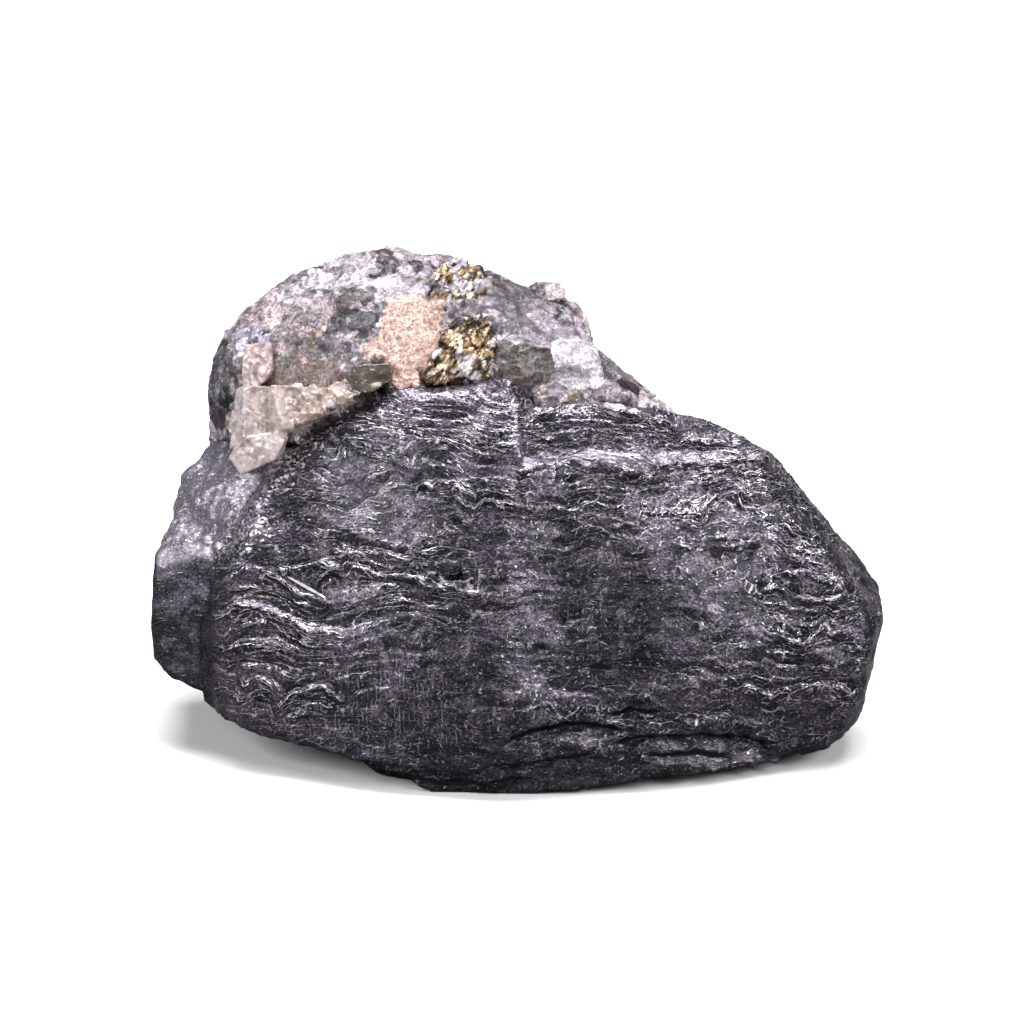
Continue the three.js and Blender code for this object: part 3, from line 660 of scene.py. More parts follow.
def new_finish(name):
    """An empty material with its shader and the piece's own coordinates in millimetres."""
    finish = bpy.data.materials.new(name)
    finish.use_nodes = True
    tree = finish.node_tree
    mm = use(tree, face_measure, Object=add(tree, "TexCoord").outputs["Object"])["Millimetres"]
    return finish, tree, tree.nodes["Principled BSDF"], mm


def wear_finish(piece, finish):
    piece.data.materials.clear()
    piece.data.materials.append(finish)


def stored(tree, name, output="Fac"):
    return add(tree, "Attribute", attribute_name=name).outputs[output]


def drawn_out(tree, mm, shares):
    return combined(tree, "MULTIPLY", mm, shares)


def bumped(tree, height, normal, distance=MM, strength=1.0):
    """The normal that a height gives to the faces it lies on."""
    made = {"Height": height, "Distance": distance, "Strength": strength, "Normal": normal}
    return add(tree, "Bump", made).outputs[0]


GALENA_DARK = (0.026, 0.023, 0.031)
GALENA_GREY = (0.108, 0.097, 0.121)
GALENA_LIT_TREAD = (0.33, 0.30, 0.37)  # ledges and treads lit from above: a painted highlight
GALENA_GLINT = (0.90, 0.865, 0.93)
GALENA_SUGAR = (0.30, 0.285, 0.33)
GALENA_PAINTED_SHADE = (0.009, 0.009, 0.011)

galena_finish, tree, shader, mm = new_finish("cleaved galena")
busy_now, sure_now, lit_now = stored(tree, "busy"), stored(tree, "sure"), stored(tree, "lit")
at = axes(tree, mm)
run = plus_share(tree, at["X"], at["Y"], 0.9)  # goes around the ends of the lump as well
torn = noise(tree, drawn_out(tree, mm, (0.8, 0.8, 1.5)), 0.9, 2.5, 0.55)
torn = [reckon(tree, "SUBTRACT", channel, 0.5) for channel in channels(tree, torn["Color"])[:3]]
patches = channels(tree, noise(tree, drawn_out(tree, mm, (1, 1, 1.8)), 0.30, 3.0)["Color"])
clustered = times(tree, busy_now, spread(tree, patches[0], 0.40, 0.60, 0.25, 1.30))


def torn_by(channel, amount, across=stored(tree, "flow")):
    return plus_share(tree, across, torn[channel], amount)


# The torn lips of the plates, of the thin leaves between them, and of the upright columns.
slab_share = spread(tree, clustered, 0.1, 1.3, 0.10, 0.60)
slab_share = most(tree, slab_share, times(tree, sure_now, 0.78))
slabs = use(tree, cleavage, Run=run, Climb=torn_by(0, 0.9), Thickness=SLAB, Length=1.3, Share=slab_share,
            Lip_width=0.11, Tread_width=0.45, Jog=0.80)
leaf_share = spread(tree, clustered, 0.1, 1.3, 0.12, 0.45)
leaves = use(tree, cleavage, Run=run, Climb=torn_by(1, 1.1), Thickness=LEAF, Length=0.8, Share=leaf_share,
             Lip_width=0.10, Tread_width=0.3, Shift=0.35, Jog=0.95)
post_share = spread(tree, stored(tree, "upright"), 0.0, 0.9, 0.05, 0.60)
posts = use(tree, cleavage, Run=at["Z"], Climb=torn_by(1, 0.8, at["X"]), Thickness=0.5, Length=1.0,
            Share=post_share, Lip_width=0.08, Tread_width=0.2)
scale = use(tree, scales, Run=torn_by(2, 0.45, run), Climb=torn_by(0, 0.35), Wide=3.0, Tall=1.2)
small_scale = use(tree, scales, Run=torn_by(1, 0.3, run), Climb=torn_by(2, 0.2), Wide=1.4, Tall=0.6)
flattened = drawn_out(tree, mm, (1, 1, 1.4))
specks = use(tree, sparkle, Millimetres=flattened, Grain=0.2,
             Tilt=reckon(tree, "MULTIPLY_ADD", clustered, 0.14, 0.10))
dust = noise(tree, drawn_out(tree, mm, (1, 1, 1.7)), 3.2, 3.0, 0.75)[0]

# The tarnished body of the ore, mottled in patches and in specks, and painted lighter where the lit mask
# paints light.
tarnish = noise(tree, drawn_out(tree, mm, (1, 1, 1.5)), 0.4, 5.0, 0.62)[0]
mottled = plus_share(tree, times(tree, tarnish, 0.75), scale["Tone"], 0.22)
mottled = plus_share(tree, mottled, small_scale["Tone"], 0.10)
mottled = plus_share(tree, mottled, lit_now, 0.18)
body = between(tree, spread(tree, mottled, 0.42, 0.78), GALENA_DARK, GALENA_GREY)
body = scaled(
    tree, body,
    spread(tree, specks["Chance two"], 0.0, 1.0, 0.35, 1.65),
    spread(tree, dust, 0.41, 0.58, 0.40, 1.75),
    spread(tree, patches[1], 0.38, 0.58, 0.5, 1.2),
)

# Painted highlights on the treads of the ledges, which face up into the light, and a painted shadow under
# each lip.
tread_now = times(tree, slabs["Tread"], spread(tree, clustered, 0.3, 1.1, 0.0, 0.22))
combed = noise(tree, drawn_out(tree, mm, (0.25, 0.5, 2.0)), 3.0, 3.0)[0]
broad_tread = times(tree, stored(tree, "tread"), spread(tree, combed, 0.38, 0.62, 0.1, 1.1))
tread_now = times(tree, most(tree, tread_now, broad_tread), spread(tree, dust, 0.38, 0.58, 0.4, 1.0))
body = between(tree, tread_now, body, GALENA_LIT_TREAD)
shadow = times(tree, slabs["Under"], 0.9)
shadow = reckon(tree, "MULTIPLY_ADD", leaves["Under"], 0.6, shadow, clamp=True)
body = between(tree, shadow, body, GALENA_PAINTED_SHADE)

# Painted highlights: lips, rims of scales and single specks are painted bright as glints, duller to the right
# and where the lit mask paints shade.
rims = times(tree, scale["Rim"], spread(tree, clustered, 0.1, 0.8, 0.05, 1.0))
small_rims = times(tree, small_scale["Rim"], spread(tree, clustered, 0.2, 1.1, 0.06, 0.95))
bright = most(
    tree,
    times(tree, slabs["Lip"], spread(tree, clustered, 0.2, 0.8, 0.5, 1.0)),
    times(tree, most(tree, rims, small_rims), spread(tree, dust, 0.42, 0.52, 0.08, 1.0)),
    times(tree, leaves["Lip"], 0.85),
    times(tree, posts["Lip"], 0.42),
    spread(tree, specks["Chance"], 0.975, 0.99, 0.0, 0.35),
)
dimmer = reckon(tree, "MULTIPLY_ADD", spread(tree, at["X"], -12.0, 12.0), -0.18, 1.0)
bright = times(tree, bright, spread(tree, lit_now, -1.0, 0.3, 0.35, 1.0), dimmer)
body = between(tree, bright, scaled(tree, body, dimmer), GALENA_GLINT)

# The sugary recess with painted glints on its grains, the crumbs along its edge with painted glints, and
# painted shade in the pits and the gaps under the overhangs.
coarse = between(tree, spread(tree, dust, 0.34, 0.62), GALENA_GREY, GALENA_SUGAR)
coarse = between(tree, spread(tree, specks["Chance"], 0.86, 1.0, 0.0, 0.6), coarse, GALENA_GLINT)
body = between(tree, stored(tree, "sugary"), body, coarse)
crumbs = use(tree, sparkle, Millimetres=flattened, Grain=0.33, Tilt=0.6)
crumb = between(tree, spread(tree, crumbs["Chance"], 0.2, 1.0, 0.0, 0.75), GALENA_GREY, GALENA_GLINT)
crumbly_now = stored(tree, "crumbly")
crumbs = spread(tree, reckon(tree, "ADD", crumbs["Chance two"], crumbly_now), 1.0, 1.08)
body = between(tree, times(tree, crumbs, spread(tree, crumbly_now, 0.0, 0.1)), body, crumb)
dropped = spread(tree, plus_share(tree, stored(tree, "hollow"), torn[1], 1.6), 0.50, 0.68)
body = between(tree, dropped, body, GALENA_PAINTED_SHADE)

# One fresh splinter lies across the left of the face: partly its fresh colour, partly a painted highlight, so
# it is painted bright and less metallic.
SPLINTER_GLINT = (0.95, 0.95, 0.92)
SPLINTER_TURN = -0.50  # down to the right
SPLINTER_OFF = (30.3, 0.0, -9.50)
SPLINTER_SIZE = (1 / 2.5, 0.0, 1 / 0.17)  # one over its half length and half width, whatever its depth
SPLINTER_METAL = -0.45  # it shines that much less like a metal
splinter = {"Vector": mm, "Rotation": (0, SPLINTER_TURN, 0), "Location": SPLINTER_OFF}
splinter = drawn_out(tree, add(tree, "Mapping", splinter).outputs[0], SPLINTER_SIZE)
splinter = add(tree, "VectorMath", {0: splinter}, operation="LENGTH").outputs["Value"]
in_front = spread(tree, at["Y"], 14, 16, 1.0, 0.0)
splinter = times(tree, spread(tree, splinter, 0.85, 1.0, 1.0, 0.0), in_front)
body = between(tree, splinter, body, SPLINTER_GLINT)

shine = spread(tree, bright, 0.0, 1.0, 0.70, 0.50)
dull = plus_share(tree, spread(tree, dust, 0.3, 0.7, 0.36, 0.48), clustered, -0.14)
relief = times(tree, slabs["Height"], times(tree, slab_share, 0.22))
relief = plus_share(tree, relief, leaves["Height"], times(tree, leaf_share, 0.12))
relief = plus_share(tree, relief, tarnish, 0.16)
fill(tree, shader, {
    "Base Color": body,
    "Metallic": reckon(tree, "MULTIPLY_ADD", splinter, SPLINTER_METAL, shine, clamp=True),
    "Roughness": dull,
    "Normal": bumped(tree, relief, specks["Normal"]),
})

wear_finish(galena, galena_finish)
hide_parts("galena_mass")
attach(galena, "root")


# ------------------------------------------------------------------------------------------ the matrix
# The rock the ore grew in: quartz and calcite grains of a few millimetres, white, lilac and smoky, with dark
# ore grains among them and a patch of fine pink sugary calcite. Each grain ends in its own flat face.

MATRIX_CELL = 0.46
MATRIX_ROUNDS, MATRIX_EVEN = 10, 0.7  # rings that the rock is evened over, and how far each evens it
MATRIX_TOOTH = 0.05  # the fine roughness of all its grains
rng = np.random.default_rng(20)

matrix = skin_of("matrix", MATRIX_CELL, up=0.6)
points = ring_mean(matrix.data, read_points(matrix.data), MATRIX_ROUNDS, MATRIX_EVEN)
put_points(matrix.data, points)
normals = read_normals(matrix.data, 5)
place = across_face(points)

# What a grain is made of: its colour, how far its tone varies, how metallic it shines, and the share of its
# relief that it keeps.
MINERALS = {
    "white": ((0.66, 0.63, 0.66), 0.16, 0.0, 1.0),
    "lilac": ((0.48, 0.44, 0.51), 0.22, 0.1, 0.8),
    "grey": ((0.31, 0.29, 0.33), 0.25, 0.25, 0.8),
    "ash": ((0.22, 0.21, 0.235), 0.20, 0.4, 0.5),
    "mauve": ((0.40, 0.345, 0.36), 0.25, 0.0, 0.7),
    "smoky": ((0.20, 0.165, 0.155), 0.25, 0.0, 0.6),
    "cream": ((0.74, 0.50, 0.42), 0.07, 0.0, 0.25),
    "ore": ((0.085, 0.083, 0.095), 0.30, 0.8, 1.0),
    "umber": ((0.085, 0.068, 0.060), 0.30, 0.1, 0.5),
    "tan": ((0.40, 0.32, 0.26), 0.25, 0.0, 0.6),
    "amber": ((0.50, 0.27, 0.12), 0.2, 0.0, 0.6),
    "glassy": ((0.27, 0.225, 0.205), 0.14, 0.0, 0.3),
}
# Where the minerals lie on the front, as (mineral, along, climb, half width, half height, share of its
# grains).
VEINS = [
    ("cream", -11.0, 50.0, 3.2, 4.6, 1.0),
    ("mauve", -14.5, 48.3, 1.5, 1.6, 0.9),
    ("white", -29.6, 46.8, 0.7, 1.2, 1.0),
    ("lilac", -18.0, 58.3, 2.8, 0.9, 0.9),
    ("lilac", -8.2, 57.6, 2.2, 1.2, 0.8),
    ("amber", -21.4, 50.2, 0.6, 0.5, 0.8),
    ("ash", -19.0, 48.7, 3.6, 1.0, 0.6),
    ("mauve", -22.2, 51.2, 4.4, 3.6, 0.85),
    ("glassy", -21.3, 45.6, 4.8, 2.5, 1.0),
    ("glassy", -25.2, 44.6, 2.2, 1.8, 1.0),
    ("umber", -14.6, 43.0, 2.4, 1.0, 0.9),
    ("smoky", -6.4, 44.2, 1.6, 0.9, 0.9),
    ("grey", -3.0, 45.0, 3.0, 1.2, 0.9),
    ("umber", -2.6, 56.6, 2.2, 1.2, 0.4),
    ("ash", -1.0, 53.8, 4.8, 1.8, 0.85),
    ("grey", -1.6, 53.4, 6.6, 2.8, 0.9),
    ("ore", 4.9, 53.5, 0.8, 1.6, 0.8),
    ("white", 6.2, 53.2, 2.6, 2.4, 0.45),
    ("lilac", 5.7, 53.2, 3.3, 3.0, 0.9),
    ("grey", 2.0, 49.8, 2.9, 1.7, 0.8),
    ("smoky", 0.9, 46.1, 4.0, 3.2, 0.9),
    ("tan", 5.8, 42.9, 4.2, 1.1, 0.45),
    ("grey", 5.8, 42.6, 4.6, 1.6, 0.8),
    ("ash", 12.2, 46.1, 2.0, 2.6, 0.6),
    ("tan", 12.2, 46.1, 2.2, 2.8, 0.6),
    ("white", 16.8, 43.2, 3.0, 2.0, 0.7),
    ("ore", -31.8, 41.2, 1.8, 3.0, 0.9),
    ("ash", -31.7, 44.6, 1.9, 4.8, 0.8),
    ("lilac", -30.2, 50.0, 3.0, 2.6, 0.7),
]
# Everywhere else the minerals come in drifts: each takes the part of the rock where a wandering number is
# below its mark.
DRIFTS = (("ash", -0.42), ("grey", -0.08), ("lilac", 0.30), ("mauve", 0.48), ("white", 0.85), ("tan", 9.0))
STRAYS = ("white", "lilac", "grey", "ore", "mauve", "umber")
STRAY_SHARE = 0.22
DRIFT_REACH = 4.5  # how far a drift of one mineral is across

BIG_GRAINS = 420
SMALL_GRAINS = 6400
BIG_REACH = 1.7  # how far a big grain may spread from its middle, though some stop sooner
BIG_TILT, SMALL_TILT = 0.15, 0.15  # how far a grain's face leans off the surface
BIG_STEP, SMALL_STEP = 0.12, 0.06  # how far it stands proud or lies sunk
MOST_MOVE = 0.30
STEEPEST = 0.4  # a face that leans further off the surface counts as this steep
SEAM_WIDTH = 0.22
SEAM_DEPTH = 0.05


def mineral_at(along, climb, drift_here, front):
    """The mineral of a grain at a place on the leaning face."""
    if front:
        for name, u, v, width, height, share in VEINS:
            squarish = abs((along - u) / width) ** 2.6 + abs((climb - v) / height) ** 2.6
            if squarish < 1 and rng.random() < share:
                return name
    if rng.random() < STRAY_SHARE:
        return STRAYS[rng.integers(len(STRAYS))]
    return next(name for name, mark in DRIFTS if drift_here < mark)


def search_tree(rows, first=0):
    """Finds the nearest of rows of places, which are numbered from first."""
    found = KDTree(len(rows))
    for n, row in enumerate(rows, first):
        found.insert(row, n)
    found.balance()
    return found


def to_flat_faces(points, normals, seeds, leaning, steps, owner):
    """How far each point is, along its normal, from the flat face of the grain that owns it."""
    middles = points[seeds] + normals[seeds] * steps[:, None] * MM
    slant = np.einsum("ij,ij->i", normals, leaning[owner]).clip(STEEPEST)
    return np.einsum("ij,ij->i", middles[owner] - points, leaning[owner]) / slant / MM


chosen = rng.choice(len(points), BIG_GRAINS + SMALL_GRAINS, replace=False)
big_tree = search_tree(points[chosen[:BIG_GRAINS]] / MM)
small_tree = search_tree(points[chosen[BIG_GRAINS:]] / MM, BIG_GRAINS)

is_big = np.arange(len(chosen)) < BIG_GRAINS
leaning = rng.normal(size=(len(chosen), 3)) * np.where(is_big, BIG_TILT, SMALL_TILT)[:, None]
leaning += normals[chosen]
leaning /= np.linalg.norm(leaning, axis=1)[:, None]
steps = rng.uniform(-1, 1, len(chosen)) * np.where(is_big, BIG_STEP, SMALL_STEP)
wander = rough_drift(place[chosen] / DRIFT_REACH, 51)
on_front = (normals[chosen, 1] < 0.35) & (normals[chosen, 2] > -0.2)
kinds = [mineral_at(*spot, wander[n], on_front[n]) for n, spot in enumerate(place[chosen][:, [0, 2]])]
tones = rng.normal(size=len(chosen))
base, vary, metal, keeps_relief = (np.array(column) for column in zip(*(MINERALS[k] for k in kinds)))
fine_grained = np.array([k in ("cream", "glassy") for k in kinds])

owner = np.empty(len(points), np.int64)
seam = np.ones(len(points))
for n, p in enumerate(points / MM):
    _, big, far = big_tree.find(p)
    if far < BIG_REACH * (0.7 + 0.3 * math.sin(big * 7.7)) and not fine_grained[big]:
        owner[n] = big
    else:
        (_, one, near), (_, _, next_near) = small_tree.find_n(p, 2)
        owner[n] = one
        seam[n] = min(1.0, (next_near - near) / SEAM_WIDTH)

move = to_flat_faces(points, normals, chosen, leaning, steps, owner)
move = np.clip(move, -MOST_MOVE, MOST_MOVE) * keeps_relief[owner] - SEAM_DEPTH * (1 - seam)
move += MATRIX_TOOTH * rough_drift(place / 0.8, 61)

# Where the rock meets the ore and the crystals they have grown into each other, and no gap shows.
GUESTS = ("calcite_crystals", "chalcopyrite_lower", "chalcopyrite_upper")
LOOKS_OUT = 2  # how far off the rock looks for them
FAR_OFF = 9.0  # stands for anything beyond that
STAYS_CLEAR = 0.35  # relief stops this far from the crystals
MEETS = 0.8  # rock nearer to them than this comes up to them
MEETS_SHARE = 0.9
GROWN_OVER = 1.3  # how far the ore's own colour reaches into the rock
BLUSH_REACH = 1.2  # and how far the colour of the crystals does
BLUSH = np.array([0.52, 0.43, 0.40])


def surface_of(mesh):
    solid = bmesh.new()
    solid.from_mesh(mesh)
    surface = BVHTree.FromBMesh(solid)
    solid.free()
    return surface


def nearest_on(surface, rows):
    """The nearest spots of a surface to rows of points, and how far they are; out of reach counts as far."""
    spots, far = rows.copy(), np.full(len(rows), FAR_OFF)
    for n, row in enumerate(rows):
        spot, _, _, distance = surface.find_nearest(Vector(row), LOOKS_OUT * MM)
        if spot is not None:
            spots[n], far[n] = spot, distance / MM
    return spots, far


guests = {name: surface_of(nodes[name].data) for name in GUESTS}
for surface in guests.values():
    room = nearest_on(surface, points)[1]
    move = np.minimum(move, np.maximum(room - STAYS_CLEAR, 0) * 0.8)
points += normals * move[:, None] * MM

guests["galena_mass"] = surface_of(galena.data)
distances = {}
for name, surface in guests.items():
    spots, distances[name] = nearest_on(surface, points)
    points += (spots - points) * (MEETS_SHARE * (distances[name] < MEETS))[:, None]
met = 1 - np.minimum(distances["galena_mass"] / GROWN_OVER, 1)
blushed = 1 - np.minimum(distances["calcite_crystals"] / BLUSH_REACH, 1)
put_points(matrix.data, points)

TONE_SPREAD, HUE_SPREAD = 0.75, 0.025
DARKEST, PALEST = 0.01, 0.86
SEAM_SHADE = 0.38
CROWN_SHADE = 0.26  # painted shade on the faces that look up
colours = base * np.exp(tones * vary * TONE_SPREAD)[:, None] * np.exp(rng.normal(0, HUE_SPREAD, base.shape))
shades = np.clip(colours, DARKEST, PALEST)[owner] * (1 - SEAM_SHADE + SEAM_SHADE * seam)[:, None]
shades *= 1 - CROWN_SHADE * eased(normals[:, 2], 0.55, 0.95)[:, None]
mixed = eased(met + 0.25 * rough_drift(place / 1.4, 63), 0.25, 0.75)
rosy = (eased(blushed + 0.3 * rough_drift(place / 1.1, 65), 0.2, 0.8) * 0.6)[:, None]
shades += (BLUSH - shades) * rosy
for name, values in {
    "mineral": shades,
    "ore": np.maximum(metal[owner], 0.7 * mixed),
    "met": mixed,
    "faced": 1 - eased(normals[:, 1], 0.2, 0.5),
    "cream": fine_grained[owner].astype(float),
}.items():
    keep(matrix.data, name, values)

# A lens of one mineral: whole grains belong to it, those whose middles are in it.
lens, given, made = new_group(
    "Mineral lens",
    {"Middle": ("Vector", None), "Along": ("Float", 0.0), "Climb": ("Float", 0.0),
     "Half width": ("Float", 1.0), "Half height": ("Float", 1.0), "Lean": ("Float", 0.0)},
    {"Inside": "Float"},
)
middle = axes(lens, given["Middle"])
above = reckon(lens, "SUBTRACT", middle["Z"], given["Climb"])
aside = reckon(lens, "SUBTRACT", middle["X"], given["Along"])
aside = plus_share(lens, aside, above, times(lens, given["Lean"], -1.0))
far = []
for off, half in ((aside, given["Half width"]), (above, given["Half height"])):
    square = reckon(lens, "DIVIDE", off, half)
    square = times(lens, square, square)
    far.append(times(lens, square, square))
fill(lens, made, {"Inside": reckon(lens, "LESS_THAN", reckon(lens, "ADD", *far), 1.0)})

WHITE = (0.60, 0.565, 0.605)
SMOKE = (0.052, 0.044, 0.041)
INK = (0.042, 0.041, 0.050)
# The lenses whose grains end sharply against their neighbours, as (colour, grain, along, climb, half width,
# half height, how far they lean to the right going up).
LENSES = [
    (WHITE, "fine", -18.2, 56.2, 2.6, 1.1, 0.3),
    (WHITE, "fine", -13.4, 55.0, 1.6, 1.5, 0.0),
    (WHITE, "fine", -21.8, 56.3, 1.1, 1.0, 0.0),
    (WHITE, "fine", -25.0, 54.4, 1.0, 0.6, 0.5),
    (SMOKE, "fine", -16.8, 54.4, 2.1, 1.1, 0.0),
    (INK, "fine", -17.2, 51.2, 2.5, 1.5, 0.4),
    (INK, "coarse", -13.4, 58.2, 1.6, 1.0, -0.4),
    ((0.50, 0.49, 0.64), "coarse", -9.7, 55.0, 1.4, 0.9, 0.0),
    ((0.46, 0.45, 0.60), "coarse", -27.6, 49.2, 1.5, 1.3, 0.0),
    ((0.11, 0.093, 0.087), "fine", 1.0, 46.8, 3.0, 2.5, -0.15),
]
PINK = (0.60, 0.405, 0.345)
PINK_LENSES = [(-10.7, 51.2, 2.9, 3.1, 0.25), (-12.6, 49.8, 2.0, 2.3, 0.9), (-10.7, 46.8, 2.1, 2.8, 0.2)]
CLEAVED = (0.66, 0.62, 0.66)
CLEAVED_LENS = (7.6, 47.6, 2.6, 2.8, -0.2)  # the large white grain

matrix_finish, tree, shader, mm = new_finish("mixed grains")
grains = use(tree, sparkle, Millimetres=mm, Grain=1.3, Tilt=0.3)
bits = use(tree, sparkle, Millimetres=mm, Grain=0.7, Tilt=0.5)
grit = use(tree, sparkle, Millimetres=mm, Grain=0.24, Tilt=0.8)
veil = noise(tree, mm, 1.1, 5.0, 0.65)[0]
mineral = stored(tree, "mineral", "Color")
faced = stored(tree, "faced")
warm = combined(tree, "MULTIPLY", mineral, (1.06, 0.97, 0.96))
mineral = between(tree, spread(tree, grains["Chance two"], 0.70, 0.72), warm, mineral)
kept = spread(tree, bits["Chance two"], 0.14, 0.16, 0.25, 0.9)


def in_lens(middle, *where):
    """Where grains with these middles are in a lens on the front of the rock."""
    names = ("Along", "Climb", "Half_width", "Half_height", "Lean")
    return times(tree, use(tree, lens, Middle=middle, **dict(zip(names, where)))["Inside"], faced)


for colour, size, *where in LENSES:
    middle = {"fine": bits, "coarse": grains}[size]["Middle"]
    mineral = between(tree, times(tree, in_lens(middle, *where), kept), mineral, colour)
pink = most(tree, *(in_lens(bits["Middle"], *where) for where in PINK_LENSES))
mineral = between(tree, pink, mineral, PINK)
at = axes(tree, mm)
slope = plus_share(tree, at["Z"], veil, 1.2)
whole = add(tree, "CombineXYZ", {"X": reckon(tree, "ADD", veil, at["X"]), "Z": slope}).outputs[0]
cleaved = in_lens(whole, *CLEAVED_LENS)
mineral = between(tree, cleaved, mineral, CLEAVED)
lined = use(tree, cleavage, Run=at["X"], Climb=slope, Thickness=0.4, Length=1.6, Share=0.6, Jog=0.6)
torn = use(tree, cleavage, Run=at["X"], Climb=slope, Thickness=0.8, Length=1.2, Share=0.6, Lip_width=0.1,
           Jog=0.8)
# The ore's edges in the rock get painted highlights along their torn lips.
ore_edge = between(tree, torn["Lip"], GALENA_GREY, GALENA_GLINT)
met_here = plus_share(tree, stored(tree, "met"), bits["Chance"], 0.4)
mineral = between(tree, spread(tree, met_here, 0.66, 0.72), mineral, ore_edge)

# Grains differ in tone, except in the even patches; seams and cracks are darker. A few grit cells are painted
# brighter as glints, and the large cleaved grain gets a painted shadow under its cleavage steps.
even = most(tree, stored(tree, "cream"), pink, cleaved)
apart = times(
    tree,
    reckon(tree, "MULTIPLY_ADD", reckon(tree, "SUBTRACT", grains["Chance"], 0.5), 0.8, 0.96),
    spread(tree, grains["Seam"], 0.0, 0.03, 0.65, 1.0),
    spread(tree, bits["Chance"], 0.0, 1.0, 0.58, 1.22),
)
crack = reckon(tree, "ABSOLUTE", reckon(tree, "SUBTRACT", noise(tree, mm, 0.8, 5.0, 0.6)[0], 0.5))
hatched = times(tree, lined["Under"], times(tree, cleaved, -0.35))
light = times(
    tree,
    spread(tree, grit["Chance two"], 0.0, 1.0, 0.52, 1.22),
    spread(tree, grit["Chance"], 0.90, 0.96, 1.0, 1.6),
    spread(tree, veil, 0.3, 0.7, 0.65, 1.2),
    add(tree, "Mix", {0: rest_of(tree, even), 2: 1.0, 3: apart}).outputs[0],
    spread(tree, crack, 0.0, 0.012, 0.45, 1.0),
    reckon(tree, "ADD", hatched, 1.0),
)
faceted = combined(tree, "ADD", combined(tree, "ADD", bits["Normal"], grains["Normal"]), grit["Normal"])
rough_height = plus_share(tree, times(tree, veil, 0.25), grit["Chance"], 0.03)
fill(tree, shader, {
    "Base Color": scaled(tree, mineral, light),
    "Metallic": stored(tree, "ore"),
    "Roughness": spread(tree, bits["Chance two"], 0.0, 1.0, 0.08, 0.5),
    "Normal": bumped(tree, rough_height, combined(tree, "NORMALIZE", faceted)),
})

wear_finish(matrix, matrix_finish)
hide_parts("matrix")
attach(matrix, "root")


# ------------------------------------------------------------------------------------------ the calcite
# A cluster of clear calcite rhombs, faintly pink, at the left edge. The blade, the prism and the foot end in
# smooth cleavages with feathery cracks inside; the low mass beside them is a crowd of small crystals.

CALCITE_CELL = 0.17
CALCITE_TINTS = {
    "blade": (0.93, 0.735, 0.72),
    "prism": (0.86, 0.71, 0.67),
    "foot": (0.98, 0.85, 0.83),
    "blush": (0.97, 0.78, 0.69),
    "milk": (0.97, 0.89, 0.87),
    "olive": (0.17, 0.145, 0.115),
    "honey": (0.84, 0.68, 0.57),
}
CRACK_TINT = (0.95, 0.90, 0.88)
CALCITE_CLEARNESS = 0.55
CALCITE_IOR = 1.6
CALCITE_CHIPS, CALCITE_TOOTH = 0.35, 0.03  # how deep its faces are chipped, and their fine roughness
CROWD = 420  # small crystals over the low mass
CROWD_EDGE = (-24.6, -23.6)  # the low mass lies to the right of this, below the plate
CROWD_TILT = 0.38  # how far their faces lean off the surface
CROWD_STEP = (-0.35, 0.2)  # how far out the middles of the faces lie
CROWD_MOVE = (-0.7, 0.3)  # and how far out any part of them may lie
CROWD_SHARE = [0.29, 0.22, 0.03, 0.15, 0.31]  # of them in blush, milk, olive, the prism's tint and honey


def crowd_over(points, normals, spots, pool, count, tilt, step_range):
    """Small crystals grown over a surface, each seeded at a vertex of the pool and ended in a flat face.

    Gives their seeds, the crystal that owns each vertex, and how far out the vertex moves.
    """
    seeds = rng.choice(pool, count, replace=False)
    leaning = normals[seeds] + rng.normal(0, tilt, (count, 3))
    leaning /= np.linalg.norm(leaning, axis=1)[:, None]
    steps = rng.uniform(*step_range, count)
    found = search_tree(spots[seeds])
    owner = np.array([found.find(spot)[1] for spot in spots])
    return seeds, owner, to_flat_faces(points, normals, seeds, leaning, steps, owner)


calcite = skin_of("calcite_crystals", CALCITE_CELL)
points = read_points(calcite.data)
normals = read_normals(calcite.data, 2)
place = across_face(points)
along, _, climb = place.T
crowded = eased(along, *CROWD_EDGE) * (1 - eased(along + 0.6 * (climb - 44.5), -18.2, -17.4))
pool = np.flatnonzero(along > CROWD_EDGE[0] - 1)
_, owner, move = crowd_over(points, normals, points / MM, pool, CROWD, CROWD_TILT, CROWD_STEP)
chips = np.minimum(rough_drift(place / 1.8, 71), 0) * CALCITE_CHIPS + CALCITE_TOOTH * drift(place / 0.5, 73)
move = np.clip(move, *CROWD_MOVE) * crowded + chips
put_points(calcite.data, points + normals * move[:, None] * MM)

tints = np.array(list(CALCITE_TINTS.values()))
blade, prism, foot, blush, milk, olive, honey = range(len(tints))
BLADE_LOW = 44.4  # the blade is above this
PRISM_LOW = 38.9 + 0.1 * (along + 28)  # and the prism above this
PLATE_LEFT = -18.6  # the smoky plate is to the right of this
by_height = np.select([climb > BLADE_LOW, climb > PRISM_LOW], [blade, prism], foot)
crowd_tint = rng.choice([blush, milk, olive, prism, honey], CROWD, p=CROWD_SHARE)
pick = np.where(crowded > 0.5, crowd_tint[owner], by_height)
pick = np.where((along > PLATE_LEFT) & (crowded < 0.5), olive, pick)
# A painted highlight: the prism's left edge is given the pale milk tint.
bright_edge = (along < -28.9 + 0.3 * drift(place / 0.8, 75)) & (abs(climb - 41) < 3.2)  # the prism's left edge
pick = np.where(bright_edge, milk, pick)
keep(calcite.data, "tint", ring_mean(calcite.data, tints[pick], 1))

